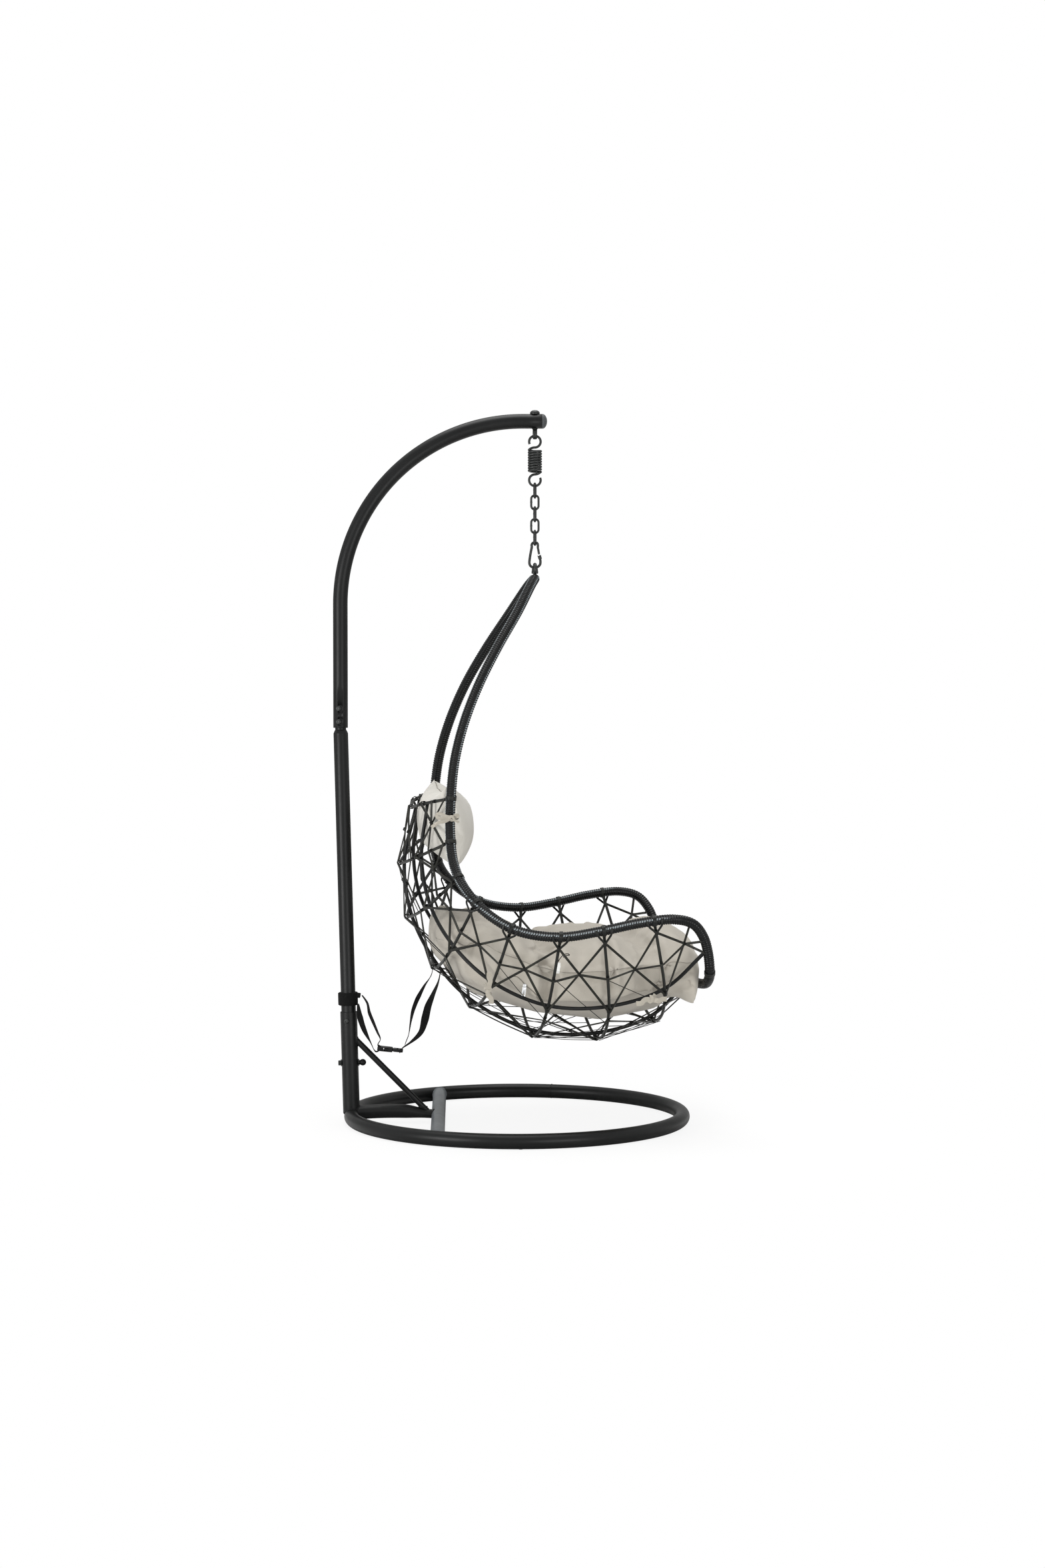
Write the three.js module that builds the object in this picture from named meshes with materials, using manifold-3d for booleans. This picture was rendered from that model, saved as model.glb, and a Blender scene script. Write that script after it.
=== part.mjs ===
// Hanging egg chair: a one-person basket seat on a cantilevered stand.
// Millimetres, +Z up. The origin is on the floor under the foot of the pole, +X runs from the
// pole towards the chair, and +Y is the sitter's left. The basket has a frame of its own inside
// the group "basket": x forward from the hang axis, y to the left, z up.
import * as THREE from 'three';
import { mergeVertices } from 'three/addons/utils/BufferGeometryUtils.js';
import Module from 'manifold-3d';

const wasm = await Module();
wasm.setup();

// ---------------------------------------------------------------- driving dimensions
const GAP = 0.3; // clearance between faces that touch
const HOLE_CLEARANCE = 0.4; // on the radius, round bolts and screws

const TUBE_OD = 40; // ring, pole and arm
const TUBE_WALL = 1.5;
const RING_OD = 950;
const RING_SEGMENTS = 40;
const VENT_RADIUS = 4; // drain hole under the ring

const CROSS_BAR_OD = 38;
const CROSS_BAR_OFFSET = 216; // from the ring's centre towards the pole
const SPINE_OD = 38;
const SPINE_RISE = 31; // height of the bow's crown, on the centreline
const SPINE_END_HEIGHT = 27; // height of both ends, on the centreline
const SPINE_FLAT_HEIGHT = 24; // the pinched end at the cross bar
const SPINE_FLAT_WIDTH = 48;
const SPINE_PINCH = [0.62, 0.95]; // shares of its length between which it is flattened
const BRACE_OD = 16;
const BRACE_TOP = 247; // where it leaves the socket
const BRACE_FOOT_SETBACK = 34; // from the cross bar's axis
const BRACE_FOOT_HEIGHT = 34;

const POLE_LEAN = THREE.MathUtils.degToRad(1.5); // the pole leans away from the chair
const SOCKET_OD = 46;
const SOCKET_WALL = 2.5;
const SOCKET_FOOT = 28; // height of the socket's lower edge, coped over the ring
const SOCKET_TOP = 306;
const POLE_FOOT = 62;
const JOINT_HEIGHT = 1085; // lower end of the arm tube
const NECK_OD = 30; // swaged top of the pole
const NECK_LENGTH = 62;
const SHOULDER_LENGTH = 9;

const ARM_HEIGHT = 1922; // centreline of the arm's level end
const ARM_BEND_RADIUS = 500;
const ARM_OVERHANG = 20; // tube beyond the hang axis
const HANG_X = 504; // the hang axis
const PLUG_DOME = 13;
const PLUG_SPIGOT = 12;

const SCREW_HEAD_RADIUS = 7.2;
const SCREW_HEAD_HEIGHT = 4;
const SCREW_SHANK_RADIUS = 4;
const SCREW_LENGTH = 12;
const ARM_SCREW_HEIGHTS = [1102, 1138];
const SOCKET_SCREW_HEIGHT = 282;
const SCREW_CROWN = [[0.93, 0.55], [0.6, 1]]; // shares of the head's radius and height
const SCREW_RECESS = 0.36; // of the head's radius
const CLAMP_HEIGHT = 165;
const CLAMP_BOLT_RADIUS = 5;
const CLAMP_HEAD_RADIUS = 7.4;
const CLAMP_HEAD_HEIGHT = 6.5;
const WASHER_RADIUS = 9.5;
const WASHER_THICKNESS = 2;
const KNOB_RADIUS = 9;
const KNOB_NECK = 0.72; // of the knob's radius

const EYE_OD = 29; // eye bolt, ring in the YZ plane
const EYE_BAND = 5.6; // radial thickness of its oval wire
const EYE_WIDTH = 12; // width of its oval wire
const EYE_SHANK_RADIUS = 5;
const DOME_NUT_RADIUS = 13.5;
const DOME_NUT_HEIGHT = 10.5;
const DOME_NUT_CROWN = [[1, 0.3], [0.88, 0.62], [0.6, 0.88], [0.25, 1], [0, 1]]; // shares of radius and height
const DOME_NUT_BORE_DEPTH = 0.75; // of its height

const SPRING_WIRE = 6.6;
const SPRING_OD = 39;
const SPRING_GAP = 0.45; // between neighbouring turns
const SPRING_TURNS = 8.5;
const HOOK_RADIUS = 15.7; // centreline
const HOOK_SEAT_GAP = 0.7; // a round hook on an oval eye
const HOOK_OPENING = 65; // degrees left out of each hook's circle

const LINK_COUNT = 5;
const LINK_WIRE = 6;
const LINK_LENGTH = 44.5;
const LINK_WIDTH = 26;

const CARABINER_WIRE = 7;
const CARABINER_PIN_RADIUS = 1.2;
const CARABINER_SEAT_GAP = 0.6; // lets its bow turn in the last link
const CARABINER_TONGUE = 2.8; // thickness of the flat at the gate's hinge
const GATE_WIRE = 6.4;

const BASKET_EYE_RADIUS = 12.6; // ring centreline
const BASKET_EYE_WIRE = 9.8;
const BASKET_EYE_COLLAR = 9; // collar radius
const BASKET_EYE_STUD = 5;
const BASKET_EYE_STUD_LENGTH = 34;

const BASKET_TURN = THREE.MathUtils.degToRad(4.7); // the basket hangs a little turned
const WRAP_RADIUS = 13.5; // frame tube with its woven wrap
const RIB_RADIUS = 4;
const KEEL_RADIUS = 5;
const BILGE_RADIUS = 5;
const ROD_GAP = 1.9; // between rods that cross
const STRAND_WIDTH = 6.5;
const STRAND_THICKNESS = 3;

// The side frame from the apex to the front corner: forward, half width, height above the floor.
const FRAME_TOP = 1507; // height of the apex in the rows below
const SIDE_FRAME = [
  [0, 9, 1493], [-14, 40, 1474], [-58, 116, 1400], [-120, 175, 1300], [-174, 218, 1200],
  [-215, 246, 1100], [-242, 271, 1000], [-254, 293, 900], [-257, 318, 800], [-249, 352, 725],
  [-216, 418, 655], [-159, 455, 601], [-92, 477, 566], [10, 491, 552], [113, 497, 566],
  [216, 502, 587], [305, 501, 596], [357, 490, 583], [388, 470, 547], [404, 452, 500],
];
const FRONT_BAR = [[412, 430, 452], [419, 360, 420], [427, 200, 397], [430, 0, 390]];
const SEAT_TURN_HEIGHT = (SIDE_FRAME[10][2] + SIDE_FRAME[11][2]) / 2; // below it the side frame runs forward
// How far forward the front ends of the strands and of the bilge rod meet the side frame.
const RIM_STRAND_END = 345;
const LEVEL_STRAND_END = 391;
const BILGE_ROD_END = 402;
const BILGE_STRAND_END = 404;

// The hoops under the seat, from the neck to the front: the height or forward place where each
// leaves the side frame, the bilge point (forward, half width, height) and the keel point.
const HOOPS = [
  { along: 'z', at: 906, bilge: [-316, 165, 884], keel: [-337, 869] },
  { along: 'z', at: 792, bilge: [-333, 170, 742], keel: [-369, 716] },
  { along: 'z', at: 700, bilge: [-312, 222, 612], keel: [-349, 570] },
  { along: 'z', at: 638, bilge: [-253, 300, 506], keel: [-278, 431] },
  { along: 'x', at: -112, bilge: [-152, 350, 414], keel: [-176, 325] },
  { along: 'x', at: 10, bilge: [-7, 370, 353], keel: [-8, 242] },
  { along: 'x', at: 124, bilge: [155, 370, 349], keel: [169, 232] },
  { along: 'x', at: 252, bilge: [303, 370, 393], keel: [328, 279] },
];

const CUSHION_INSET = 25; // between the hoops and the cushion
const CUSHION_BACK = -292;
const CUSHION_FRONT = 398;
const CUSHION_STATIONS = 20;
const CUSHION_SIDES = 24;
const TUFT_DEPTH = 28;
const TUFT_WIDTH = 24;
const TUFTS = [-196, -14, 192]; // sewn valleys across the seat
const PILLOW_CENTRE = [-247, 826];
const PILLOW_HALF_WIDTH = 262;
const PILLOW_HALF_HEIGHT = 118;
const PILLOW_HALF_THICKNESS = 62;
const PILLOW_LEAN = THREE.MathUtils.degToRad(6);
const PILLOW_STATIONS = 15;
const PILLOW_SIDES = 18;

const WEBBING_THICKNESS = 1.8;
const WEBBING_WIDTH = 24;
const COLLAR_HEIGHT = 35;
const COLLAR_THICKNESS = 6;
const COLLAR_FOOT = 324; // height of the collar's lower edge
const LUG_SIZE = [9, 26, 13]; // the collar's lug, which the webbing leaves from
const LUG_BELOW_TOP = 8;
const LUG_SIDE = -4;
const BUCKLE_LENGTH = 42;
const BUCKLE_WIDTH = 33;
const BUCKLE_THICKNESS = 12;
const BUCKLE_WALL = 2.4;

// ---------------------------------------------------------------- materials
function finish(color, roughness, metalness) {
  return new THREE.MeshStandardMaterial({ color, roughness, metalness });
}
const COATED = finish(0x2b2c2e, 0.5, 0.4);
const ZINC = finish(0x33343a, 0.38, 0.8);
const PLASTIC = finish(0x1d1d1f, 0.45, 0);
const WICKER = finish(0x2f3133, 0.6, 0);
const STRAND = finish(0x3a3b38, 0.55, 0);
const FABRIC = finish(0xbdb9b1, 0.9, 0);
const WEBBING = finish(0x161617, 0.85, 0);

// ---------------------------------------------------------------- solids
const vec = (x, y, z) => new THREE.Vector3(x, y, z);
const X = vec(1, 0, 0);
const Y = vec(0, 1, 0);
const Z = vec(0, 0, 1);

/** A closed geometry as a manifold solid, turned right side out. */
function solid(geometry) {
  const plain = new THREE.BufferGeometry();
  plain.setAttribute('position', geometry.getAttribute('position').clone());
  if (geometry.index) plain.setIndex(geometry.index.clone());
  const welded = mergeVertices(plain, 1e-3);
  const corners = [];
  for (let i = 0; i < welded.index.count; i += 3) {
    const [a, b, c] = [0, 1, 2].map((k) => welded.index.getX(i + k));
    if (a !== b && b !== c && c !== a) corners.push(a, b, c);
  }
  const build = (list) => new wasm.Manifold(new wasm.Mesh({
    numProp: 3,
    vertProperties: new Float32Array(welded.getAttribute('position').array),
    triVerts: new Uint32Array(list),
  }));
  const body = build(corners);
  return body.volume() > 0 ? body : build(corners.reverse());
}

/** The geometry of a manifold solid. */
function geometryOf(body) {
  const mesh = body.getMesh();
  const geometry = new THREE.BufferGeometry();
  geometry.setAttribute('position', new THREE.BufferAttribute(mesh.vertProperties, 3));
  geometry.setIndex(new THREE.BufferAttribute(mesh.triVerts, 1));
  geometry.computeVertexNormals();
  return geometry;
}

/** A solid moved and turned by a three.js matrix. */
function moved(body, matrix) {
  const geometry = geometryOf(body);
  geometry.applyMatrix4(matrix);
  return solid(geometry);
}

function shifted(body, x, y, z) {
  return moved(body, new THREE.Matrix4().makeTranslation(x, y, z));
}

/** One named mesh of a solid in a group. */
function addPart(group, name, body, material) {
  const mesh = new THREE.Mesh(geometryOf(body), material);
  mesh.name = name;
  group.add(mesh);
  return mesh;
}

/** A regular polygon whose flats are radius from the centre, with a flat at its foot. */
function polygon(radius, sides) {
  const corner = radius / Math.cos(Math.PI / sides);
  return Array.from({ length: sides }, (_, i) => {
    const angle = (2 * Math.PI * (i + 0.5)) / sides - Math.PI / 2;
    return new THREE.Vector2(corner * Math.cos(angle), corner * Math.sin(angle));
  });
}

/** A solid of revolution about Z from rows of [radius, height], closed on the axis or on itself. */
function turned(rows, segments) {
  const profile = rows.map(([radius, height]) => new THREE.Vector2(radius, height));
  if (rows[0][0] > 0) profile.push(profile[0].clone());
  const geometry = new THREE.LatheGeometry(profile, segments);
  geometry.rotateX(Math.PI / 2);
  return solid(geometry);
}

/** A round bar from one point to another. */
function bar(from, to, radius, sides = 12) {
  const length = from.distanceTo(to);
  const geometry = new THREE.CylinderGeometry(radius, radius, length, sides);
  geometry.rotateX(Math.PI / 2);
  geometry.translate(0, 0, length / 2);
  const turn = new THREE.Quaternion().setFromUnitVectors(Z, to.clone().sub(from).normalize());
  geometry.applyQuaternion(turn);
  geometry.translate(from.x, from.y, from.z);
  return solid(geometry);
}

/** A box by its size and centre. */
function block(size, centre) {
  const geometry = new THREE.BoxGeometry(...size);
  geometry.translate(...centre);
  return solid(geometry);
}

/** A path through given points, each of which becomes one ring of an extrusion. */
class PointPath extends THREE.Curve {
  constructor(points) {
    super();
    this.points = points;
  }

  getPoint(t, target = new THREE.Vector3()) {
    const place = t * (this.points.length - 1);
    const i = Math.min(Math.floor(place), this.points.length - 2);
    return target.lerpVectors(this.points[i], this.points[i + 1], place - i);
  }

  getPointAt(u, target) {
    return this.getPoint(u, target);
  }

  getTangentAt(u, target) {
    return this.getTangent(u, target);
  }

  getSpacedPoints(divisions) {
    return this.getPoints(divisions);
  }
}

/** A round tube or rod through points, solid, with flat ends. */
function rod(points, radius, sides) {
  const shape = new THREE.Shape(polygon(radius, sides).reverse());
  const settings = { steps: points.length - 1, bevelEnabled: false, extrudePath: new PointPath(points) };
  return solid(new THREE.ExtrudeGeometry(shape, settings));
}

/** Rings of equal count joined side by side, with end caps or closed on themselves. */
function loft(rings, looped = false) {
  const count = rings[0].length;
  const positions = rings.flat().flatMap((p) => [p.x, p.y, p.z]);
  const corners = [];
  const last = looped ? rings.length : rings.length - 1;
  for (let i = 0; i < last; i += 1) {
    const here = i * count;
    const next = ((i + 1) % rings.length) * count;
    for (let j = 0; j < count; j += 1) {
      const k = (j + 1) % count;
      corners.push(here + j, next + k, here + k, here + j, next + j, next + k);
    }
  }
  if (!looped) {
    const end = (rings.length - 1) * count;
    for (let j = 1; j < count - 1; j += 1) {
      corners.push(0, j, j + 1);
      corners.push(end, end + j + 1, end + j);
    }
  }
  const geometry = new THREE.BufferGeometry();
  geometry.setAttribute('position', new THREE.Float32BufferAttribute(positions, 3));
  geometry.setIndex(corners);
  return solid(geometry);
}

/** Directions along a row of points. */
function tangents(points, looped) {
  const last = points.length - 1;
  return points.map((_, i) => {
    const before = points[looped ? (i + last) % points.length : Math.max(i - 1, 0)];
    const after = points[looped ? (i + 1) % points.length : Math.min(i + 1, last)];
    return after.clone().sub(before).normalize();
  });
}

/** An outline of [side, up] pairs swept through points; upAt(i) gives the up side at a point. */
function swept(points, outline, upAt, looped = false) {
  const along = tangents(points, looped);
  const rings = points.map((point, i) => {
    const side = new THREE.Vector3().crossVectors(along[i], upAt(i)).normalize();
    const up = new THREE.Vector3().crossVectors(side, along[i]).normalize();
    return outline.map(([s, u]) => point.clone().addScaledVector(side, s).addScaledVector(up, u));
  });
  return loft(rings, looped);
}

/** The outline of a round or oval wire as [side, up] pairs. */
function wireOutline(halfSide, halfUp, sides) {
  return Array.from({ length: sides }, (_, i) => {
    const angle = (2 * Math.PI * (i + 0.5)) / sides;
    return [halfSide * Math.cos(angle), halfUp * Math.sin(angle)];
  });
}

/** Points of an arc in the plane of two axes, from one angle to another, in degrees. */
function arc(centre, radius, axisA, axisB, from, to, steps) {
  return Array.from({ length: steps + 1 }, (_, i) => {
    const angle = THREE.MathUtils.degToRad(from + ((to - from) * i) / steps);
    return centre.clone()
      .addScaledVector(axisA, radius * Math.cos(angle))
      .addScaledVector(axisB, radius * Math.sin(angle));
  });
}

function union(bodies) {
  return bodies.reduce((whole, body) => whole.add(body));
}

// ---------------------------------------------------------------- stand
const TUBE_RADIUS = TUBE_OD / 2;
const TUBE_BORE = TUBE_RADIUS - TUBE_WALL;
const BORE_SIDES = 8;
const BORE_FLAT = Math.cos(Math.PI / BORE_SIDES); // a bore's flats lie inside its radius
const RING_RADIUS = RING_OD / 2 - TUBE_RADIUS; // centreline, so the pole's foot is at x = 0
const RING_HEIGHT = TUBE_RADIUS; // height of the ring's centreline
const SOCKET_RADIUS = SOCKET_OD / 2;
const CROSS_BAR_X = RING_RADIUS - CROSS_BAR_OFFSET;
const ARM_X = -Math.tan(POLE_LEAN) * (JOINT_HEIGHT - RING_HEIGHT);

/** The floor ring's outside or bore as a solid ring. */
function ringSolid(tubeRadius, sides) {
  const rows = polygon(tubeRadius, sides).map((p) => [RING_RADIUS + p.x, p.y]);
  return shifted(turned(rows, RING_SEGMENTS), RING_RADIUS, 0, RING_HEIGHT);
}

function makeBaseRing() {
  const vent = bar(vec(RING_RADIUS, -RING_RADIUS, -1), vec(RING_RADIUS, -RING_RADIUS, RING_HEIGHT), VENT_RADIUS, 8);
  return ringSolid(TUBE_RADIUS, 12).subtract(ringSolid(TUBE_BORE * BORE_FLAT, BORE_SIDES)).subtract(vent);
}

const ringClearance = ringSolid(TUBE_RADIUS + GAP, 12);

/** A straight level tube across the ring, coped into it at both ends. */
function makeCrossBar() {
  const reach = Math.sqrt(RING_RADIUS ** 2 - CROSS_BAR_OFFSET ** 2);
  const from = vec(CROSS_BAR_X, -reach, RING_HEIGHT);
  const to = vec(CROSS_BAR_X, reach, RING_HEIGHT);
  const radius = CROSS_BAR_OD / 2;
  const outside = rod([from, to], radius, 12);
  const boreEnds = [from.clone().addScaledVector(Y, -1), to.clone().addScaledVector(Y, 1)];
  const bore = rod(boreEnds, (radius - TUBE_WALL) * BORE_FLAT, BORE_SIDES);
  return outside.subtract(bore).subtract(ringClearance);
}

/** The bowed tube from the socket to the cross bar, pinched where it meets the bar. */
function spineSolid(margin) {
  const start = SOCKET_RADIUS;
  const end = CROSS_BAR_X - CROSS_BAR_OD / 2 - GAP;
  const steps = 12;
  const sides = 12;
  const [pinchStart, pinchEnd] = SPINE_PINCH;
  const rings = Array.from({ length: steps + 1 }, (_, i) => {
    const t = i / steps;
    const x = THREE.MathUtils.lerp(start, end, t);
    const z = SPINE_END_HEIGHT + (SPINE_RISE - SPINE_END_HEIGHT) * Math.sin(Math.PI * t);
    const pinch = THREE.MathUtils.smoothstep(t, pinchStart, pinchEnd);
    const halfUp = margin + THREE.MathUtils.lerp(SPINE_OD, SPINE_FLAT_HEIGHT, pinch) / 2;
    const halfSide = margin + THREE.MathUtils.lerp(SPINE_OD, SPINE_FLAT_WIDTH, pinch) / 2;
    return wireOutline(halfSide, halfUp, sides).map(([s, u]) => vec(x, s, z + u));
  });
  return loft(rings);
}

/** A point of the leaning pole's axis at a height above the floor. */
function polePoint(height) {
  return vec(-Math.tan(POLE_LEAN) * (height - RING_HEIGHT), 0, height);
}

/** A solid of revolution about the pole's axis, from rows of [radius, height above the floor]. */
function onPole(rows, segments = 16) {
  const lean = new THREE.Matrix4().makeRotationY(-POLE_LEAN);
  const foot = new THREE.Matrix4().makeTranslation(0, 0, RING_HEIGHT);
  const local = rows.map(([radius, height]) => [radius, (height - RING_HEIGHT) / Math.cos(POLE_LEAN)]);
  return moved(turned(local, segments), foot.multiply(lean));
}

/** A straight pipe on the pole's axis. */
function poleSleeve(outer, inner, low, high, segments = 16) {
  return onPole([[inner, low], [outer, low], [outer, high], [inner, high]], segments);
}

function makeSpine() {
  const socket = poleSleeve(SOCKET_RADIUS + GAP, 0, RING_HEIGHT - 15, SOCKET_TOP);
  return spineSolid(0).subtract(socket).subtract(ringClearance);
}

function makeBrace() {
  const from = polePoint(BRACE_TOP);
  const to = vec(CROSS_BAR_X - BRACE_FOOT_SETBACK, 0, BRACE_FOOT_HEIGHT);
  const socket = poleSleeve(SOCKET_RADIUS + GAP, 0, RING_HEIGHT, SOCKET_TOP);
  return bar(from, to, BRACE_OD / 2, 10).subtract(socket).subtract(spineSolid(GAP));
}

/** The hole for a screw that enters from the near side at a height on an upright tube. */
function screwHole(x, height, radius) {
  return bar(vec(x, -TUBE_OD, height), vec(x, 0, height), radius, 10);
}

/** The hole for the clamp bolt, square to the leaning pole. */
function clampAxis(along) {
  const across = vec(Math.cos(POLE_LEAN), 0, Math.sin(POLE_LEAN));
  return polePoint(CLAMP_HEIGHT).addScaledVector(across, along);
}

function clampHole(reach) {
  return bar(clampAxis(-reach), clampAxis(reach), CLAMP_BOLT_RADIUS + HOLE_CLEARANCE, 12);
}

function makeSocket() {
  const inner = SOCKET_RADIUS - SOCKET_WALL;
  const sleeve = poleSleeve(SOCKET_RADIUS, inner, SOCKET_FOOT, SOCKET_TOP);
  const screw = screwHole(polePoint(SOCKET_SCREW_HEIGHT).x, SOCKET_SCREW_HEIGHT, SCREW_SHANK_RADIUS + HOLE_CLEARANCE);
  return sleeve.subtract(ringClearance).subtract(clampHole(SOCKET_OD)).subtract(screw);
}

function makePole() {
  const neck = NECK_OD / 2;
  const shoulder = JOINT_HEIGHT - SHOULDER_LENGTH / 2;
  const bore = neck - TUBE_WALL;
  const pole = onPole([
    [TUBE_BORE, POLE_FOOT], [TUBE_RADIUS, POLE_FOOT], [TUBE_RADIUS, shoulder - SHOULDER_LENGTH],
    [neck, shoulder], [neck, shoulder + NECK_LENGTH], [bore, shoulder + NECK_LENGTH],
    [bore, shoulder], [TUBE_BORE, shoulder - SHOULDER_LENGTH],
  ]);
  const holes = ARM_SCREW_HEIGHTS.map((height) => screwHole(ARM_X, height, SCREW_SHANK_RADIUS + HOLE_CLEARANCE));
  const clamp = clampHole(SOCKET_OD);
  const lower = screwHole(polePoint(SOCKET_SCREW_HEIGHT).x, SOCKET_SCREW_HEIGHT, SCREW_SHANK_RADIUS + HOLE_CLEARANCE);
  return [...holes, lower, clamp].reduce((body, hole) => body.subtract(hole), pole);
}

/** The arm's centreline: upright, a quarter circle, and a level end; extra lengthens both ends. */
function armPath(extra) {
  const bendStart = vec(ARM_X, 0, ARM_HEIGHT - ARM_BEND_RADIUS);
  const centre = bendStart.clone().addScaledVector(X, ARM_BEND_RADIUS);
  const bend = arc(centre, ARM_BEND_RADIUS, X, Z, 180, 90, 16);
  const foot = vec(ARM_X, 0, JOINT_HEIGHT - extra);
  return [foot, ...bend, vec(HANG_X + ARM_OVERHANG + extra, 0, ARM_HEIGHT)];
}

function makeArm() {
  const tube = rod(armPath(0), TUBE_RADIUS, 12).subtract(rod(armPath(1), TUBE_BORE * BORE_FLAT, BORE_SIDES));
  const shank = bar(vec(HANG_X, 0, ARM_HEIGHT - TUBE_OD), vec(HANG_X, 0, ARM_HEIGHT + TUBE_OD), EYE_SHANK_RADIUS + HOLE_CLEARANCE);
  const holes = ARM_SCREW_HEIGHTS.map((height) => screwHole(ARM_X, height, SCREW_SHANK_RADIUS + HOLE_CLEARANCE));
  return [shank, ...holes].reduce((body, hole) => body.subtract(hole), tube);
}

function makeArmPlug() {
  const spigot = TUBE_BORE * BORE_FLAT - GAP;
  const dome = arc(vec(0, 0, 0), 1, X, Z, 0, 90, 5).map((p) => [p.x * TUBE_RADIUS, GAP + p.z * PLUG_DOME]);
  dome[dome.length - 1][0] = 0;
  const rows = [[0, -PLUG_SPIGOT], [spigot, -PLUG_SPIGOT], [spigot, GAP], ...dome];
  const upright = turned(rows, 12);
  const turn = new THREE.Matrix4().makeTranslation(HANG_X + ARM_OVERHANG, 0, ARM_HEIGHT)
    .multiply(new THREE.Matrix4().makeRotationY(Math.PI / 2))
    .multiply(new THREE.Matrix4().makeRotationZ(Math.PI / 12));
  return moved(upright, turn);
}

/** A button-head screw with a hexagon recess, its head out along -Y. */
function makeScrew(x, height, surface) {
  const seat = SCREW_HEAD_RADIUS;
  const upright = turned([
    [0, -SCREW_LENGTH], [SCREW_SHANK_RADIUS, -SCREW_LENGTH], [SCREW_SHANK_RADIUS, GAP], [seat, GAP],
    ...SCREW_CROWN.map(([across, up]) => [seat * across, SCREW_HEAD_HEIGHT * up]), [0, SCREW_HEAD_HEIGHT],
  ], 12);
  const recess = bar(vec(0, 0, SCREW_HEAD_HEIGHT * 0.4), vec(0, 0, SCREW_HEAD_HEIGHT + 1), seat * SCREW_RECESS, 6);
  const turn = new THREE.Matrix4().makeTranslation(x, -surface, height)
    .multiply(new THREE.Matrix4().makeRotationX(Math.PI / 2));
  return moved(upright.subtract(recess), turn);
}

/** A solid made upright at the origin, laid along the clamp bolt at a distance from the pole. */
function onClamp(upright, along, flip = false) {
  const direction = clampAxis(1).sub(clampAxis(0)).normalize();
  if (flip) direction.negate();
  const turn = new THREE.Quaternion().setFromUnitVectors(Z, direction);
  return moved(upright, new THREE.Matrix4().compose(clampAxis(along), turn, vec(1, 1, 1)));
}

const CLAMP_SEAT = SOCKET_RADIUS + GAP;

function makeClampBolt() {
  const shankEnd = -(2 * CLAMP_SEAT + 2 * WASHER_THICKNESS + 2 * GAP + KNOB_RADIUS * 0.8);
  const upright = bar(vec(0, 0, shankEnd), vec(0, 0, CLAMP_HEAD_HEIGHT), CLAMP_BOLT_RADIUS)
    .add(bar(vec(0, 0, 0), vec(0, 0, CLAMP_HEAD_HEIGHT), CLAMP_HEAD_RADIUS, 6));
  return onClamp(upright, -(CLAMP_SEAT + WASHER_THICKNESS + GAP), true);
}

function makeClampWasher(side) {
  const bore = CLAMP_BOLT_RADIUS + HOLE_CLEARANCE;
  const upright = turned([[bore, 0], [WASHER_RADIUS, 0], [WASHER_RADIUS, WASHER_THICKNESS], [bore, WASHER_THICKNESS]], 12);
  return onClamp(upright, side * CLAMP_SEAT, side < 0);
}

function makeClampKnob() {
  const geometry = new THREE.SphereGeometry(KNOB_RADIUS, 12, 8);
  geometry.rotateX(Math.PI / 2);
  const foot = bar(vec(0, 0, -KNOB_RADIUS), vec(0, 0, 0), KNOB_RADIUS * KNOB_NECK, 12);
  const bore = bar(vec(0, 0, -KNOB_RADIUS - 1), vec(0, 0, KNOB_RADIUS * 0.3), CLAMP_BOLT_RADIUS + GAP);
  const upright = solid(geometry).add(foot).subtract(bore);
  return onClamp(upright, CLAMP_SEAT + WASHER_THICKNESS + GAP + KNOB_RADIUS);
}

const ARM_TOP = ARM_HEIGHT + TUBE_RADIUS;
const EYE_CENTRE = ARM_HEIGHT - TUBE_RADIUS - GAP - EYE_OD / 2;
const EYE_SEAT = EYE_CENTRE - EYE_OD / 2 + EYE_BAND; // where the spring's hook rests

function makeEyeBolt() {
  const radius = EYE_OD / 2 - EYE_BAND / 2;
  const centre = vec(HANG_X, 0, EYE_CENTRE);
  const points = arc(centre, radius, Y, Z, 0, 360, 16).slice(0, -1);
  const ring = swept(points, wireOutline(EYE_BAND / 2, EYE_WIDTH / 2, 8), () => X, true);
  const shank = bar(vec(HANG_X, 0, EYE_CENTRE + radius), vec(HANG_X, 0, ARM_TOP + DOME_NUT_HEIGHT * 0.6), EYE_SHANK_RADIUS);
  return ring.add(shank);
}

function makeDomeNut() {
  const bore = EYE_SHANK_RADIUS + GAP;
  const depth = DOME_NUT_HEIGHT * DOME_NUT_BORE_DEPTH;
  const nut = turned([
    [0, depth], [bore, depth], [bore, 0], [DOME_NUT_RADIUS, 0],
    ...DOME_NUT_CROWN.map(([across, up]) => [DOME_NUT_RADIUS * across, DOME_NUT_HEIGHT * up]),
  ], 14);
  return shifted(nut, HANG_X, 0, ARM_TOP + GAP);
}

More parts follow.
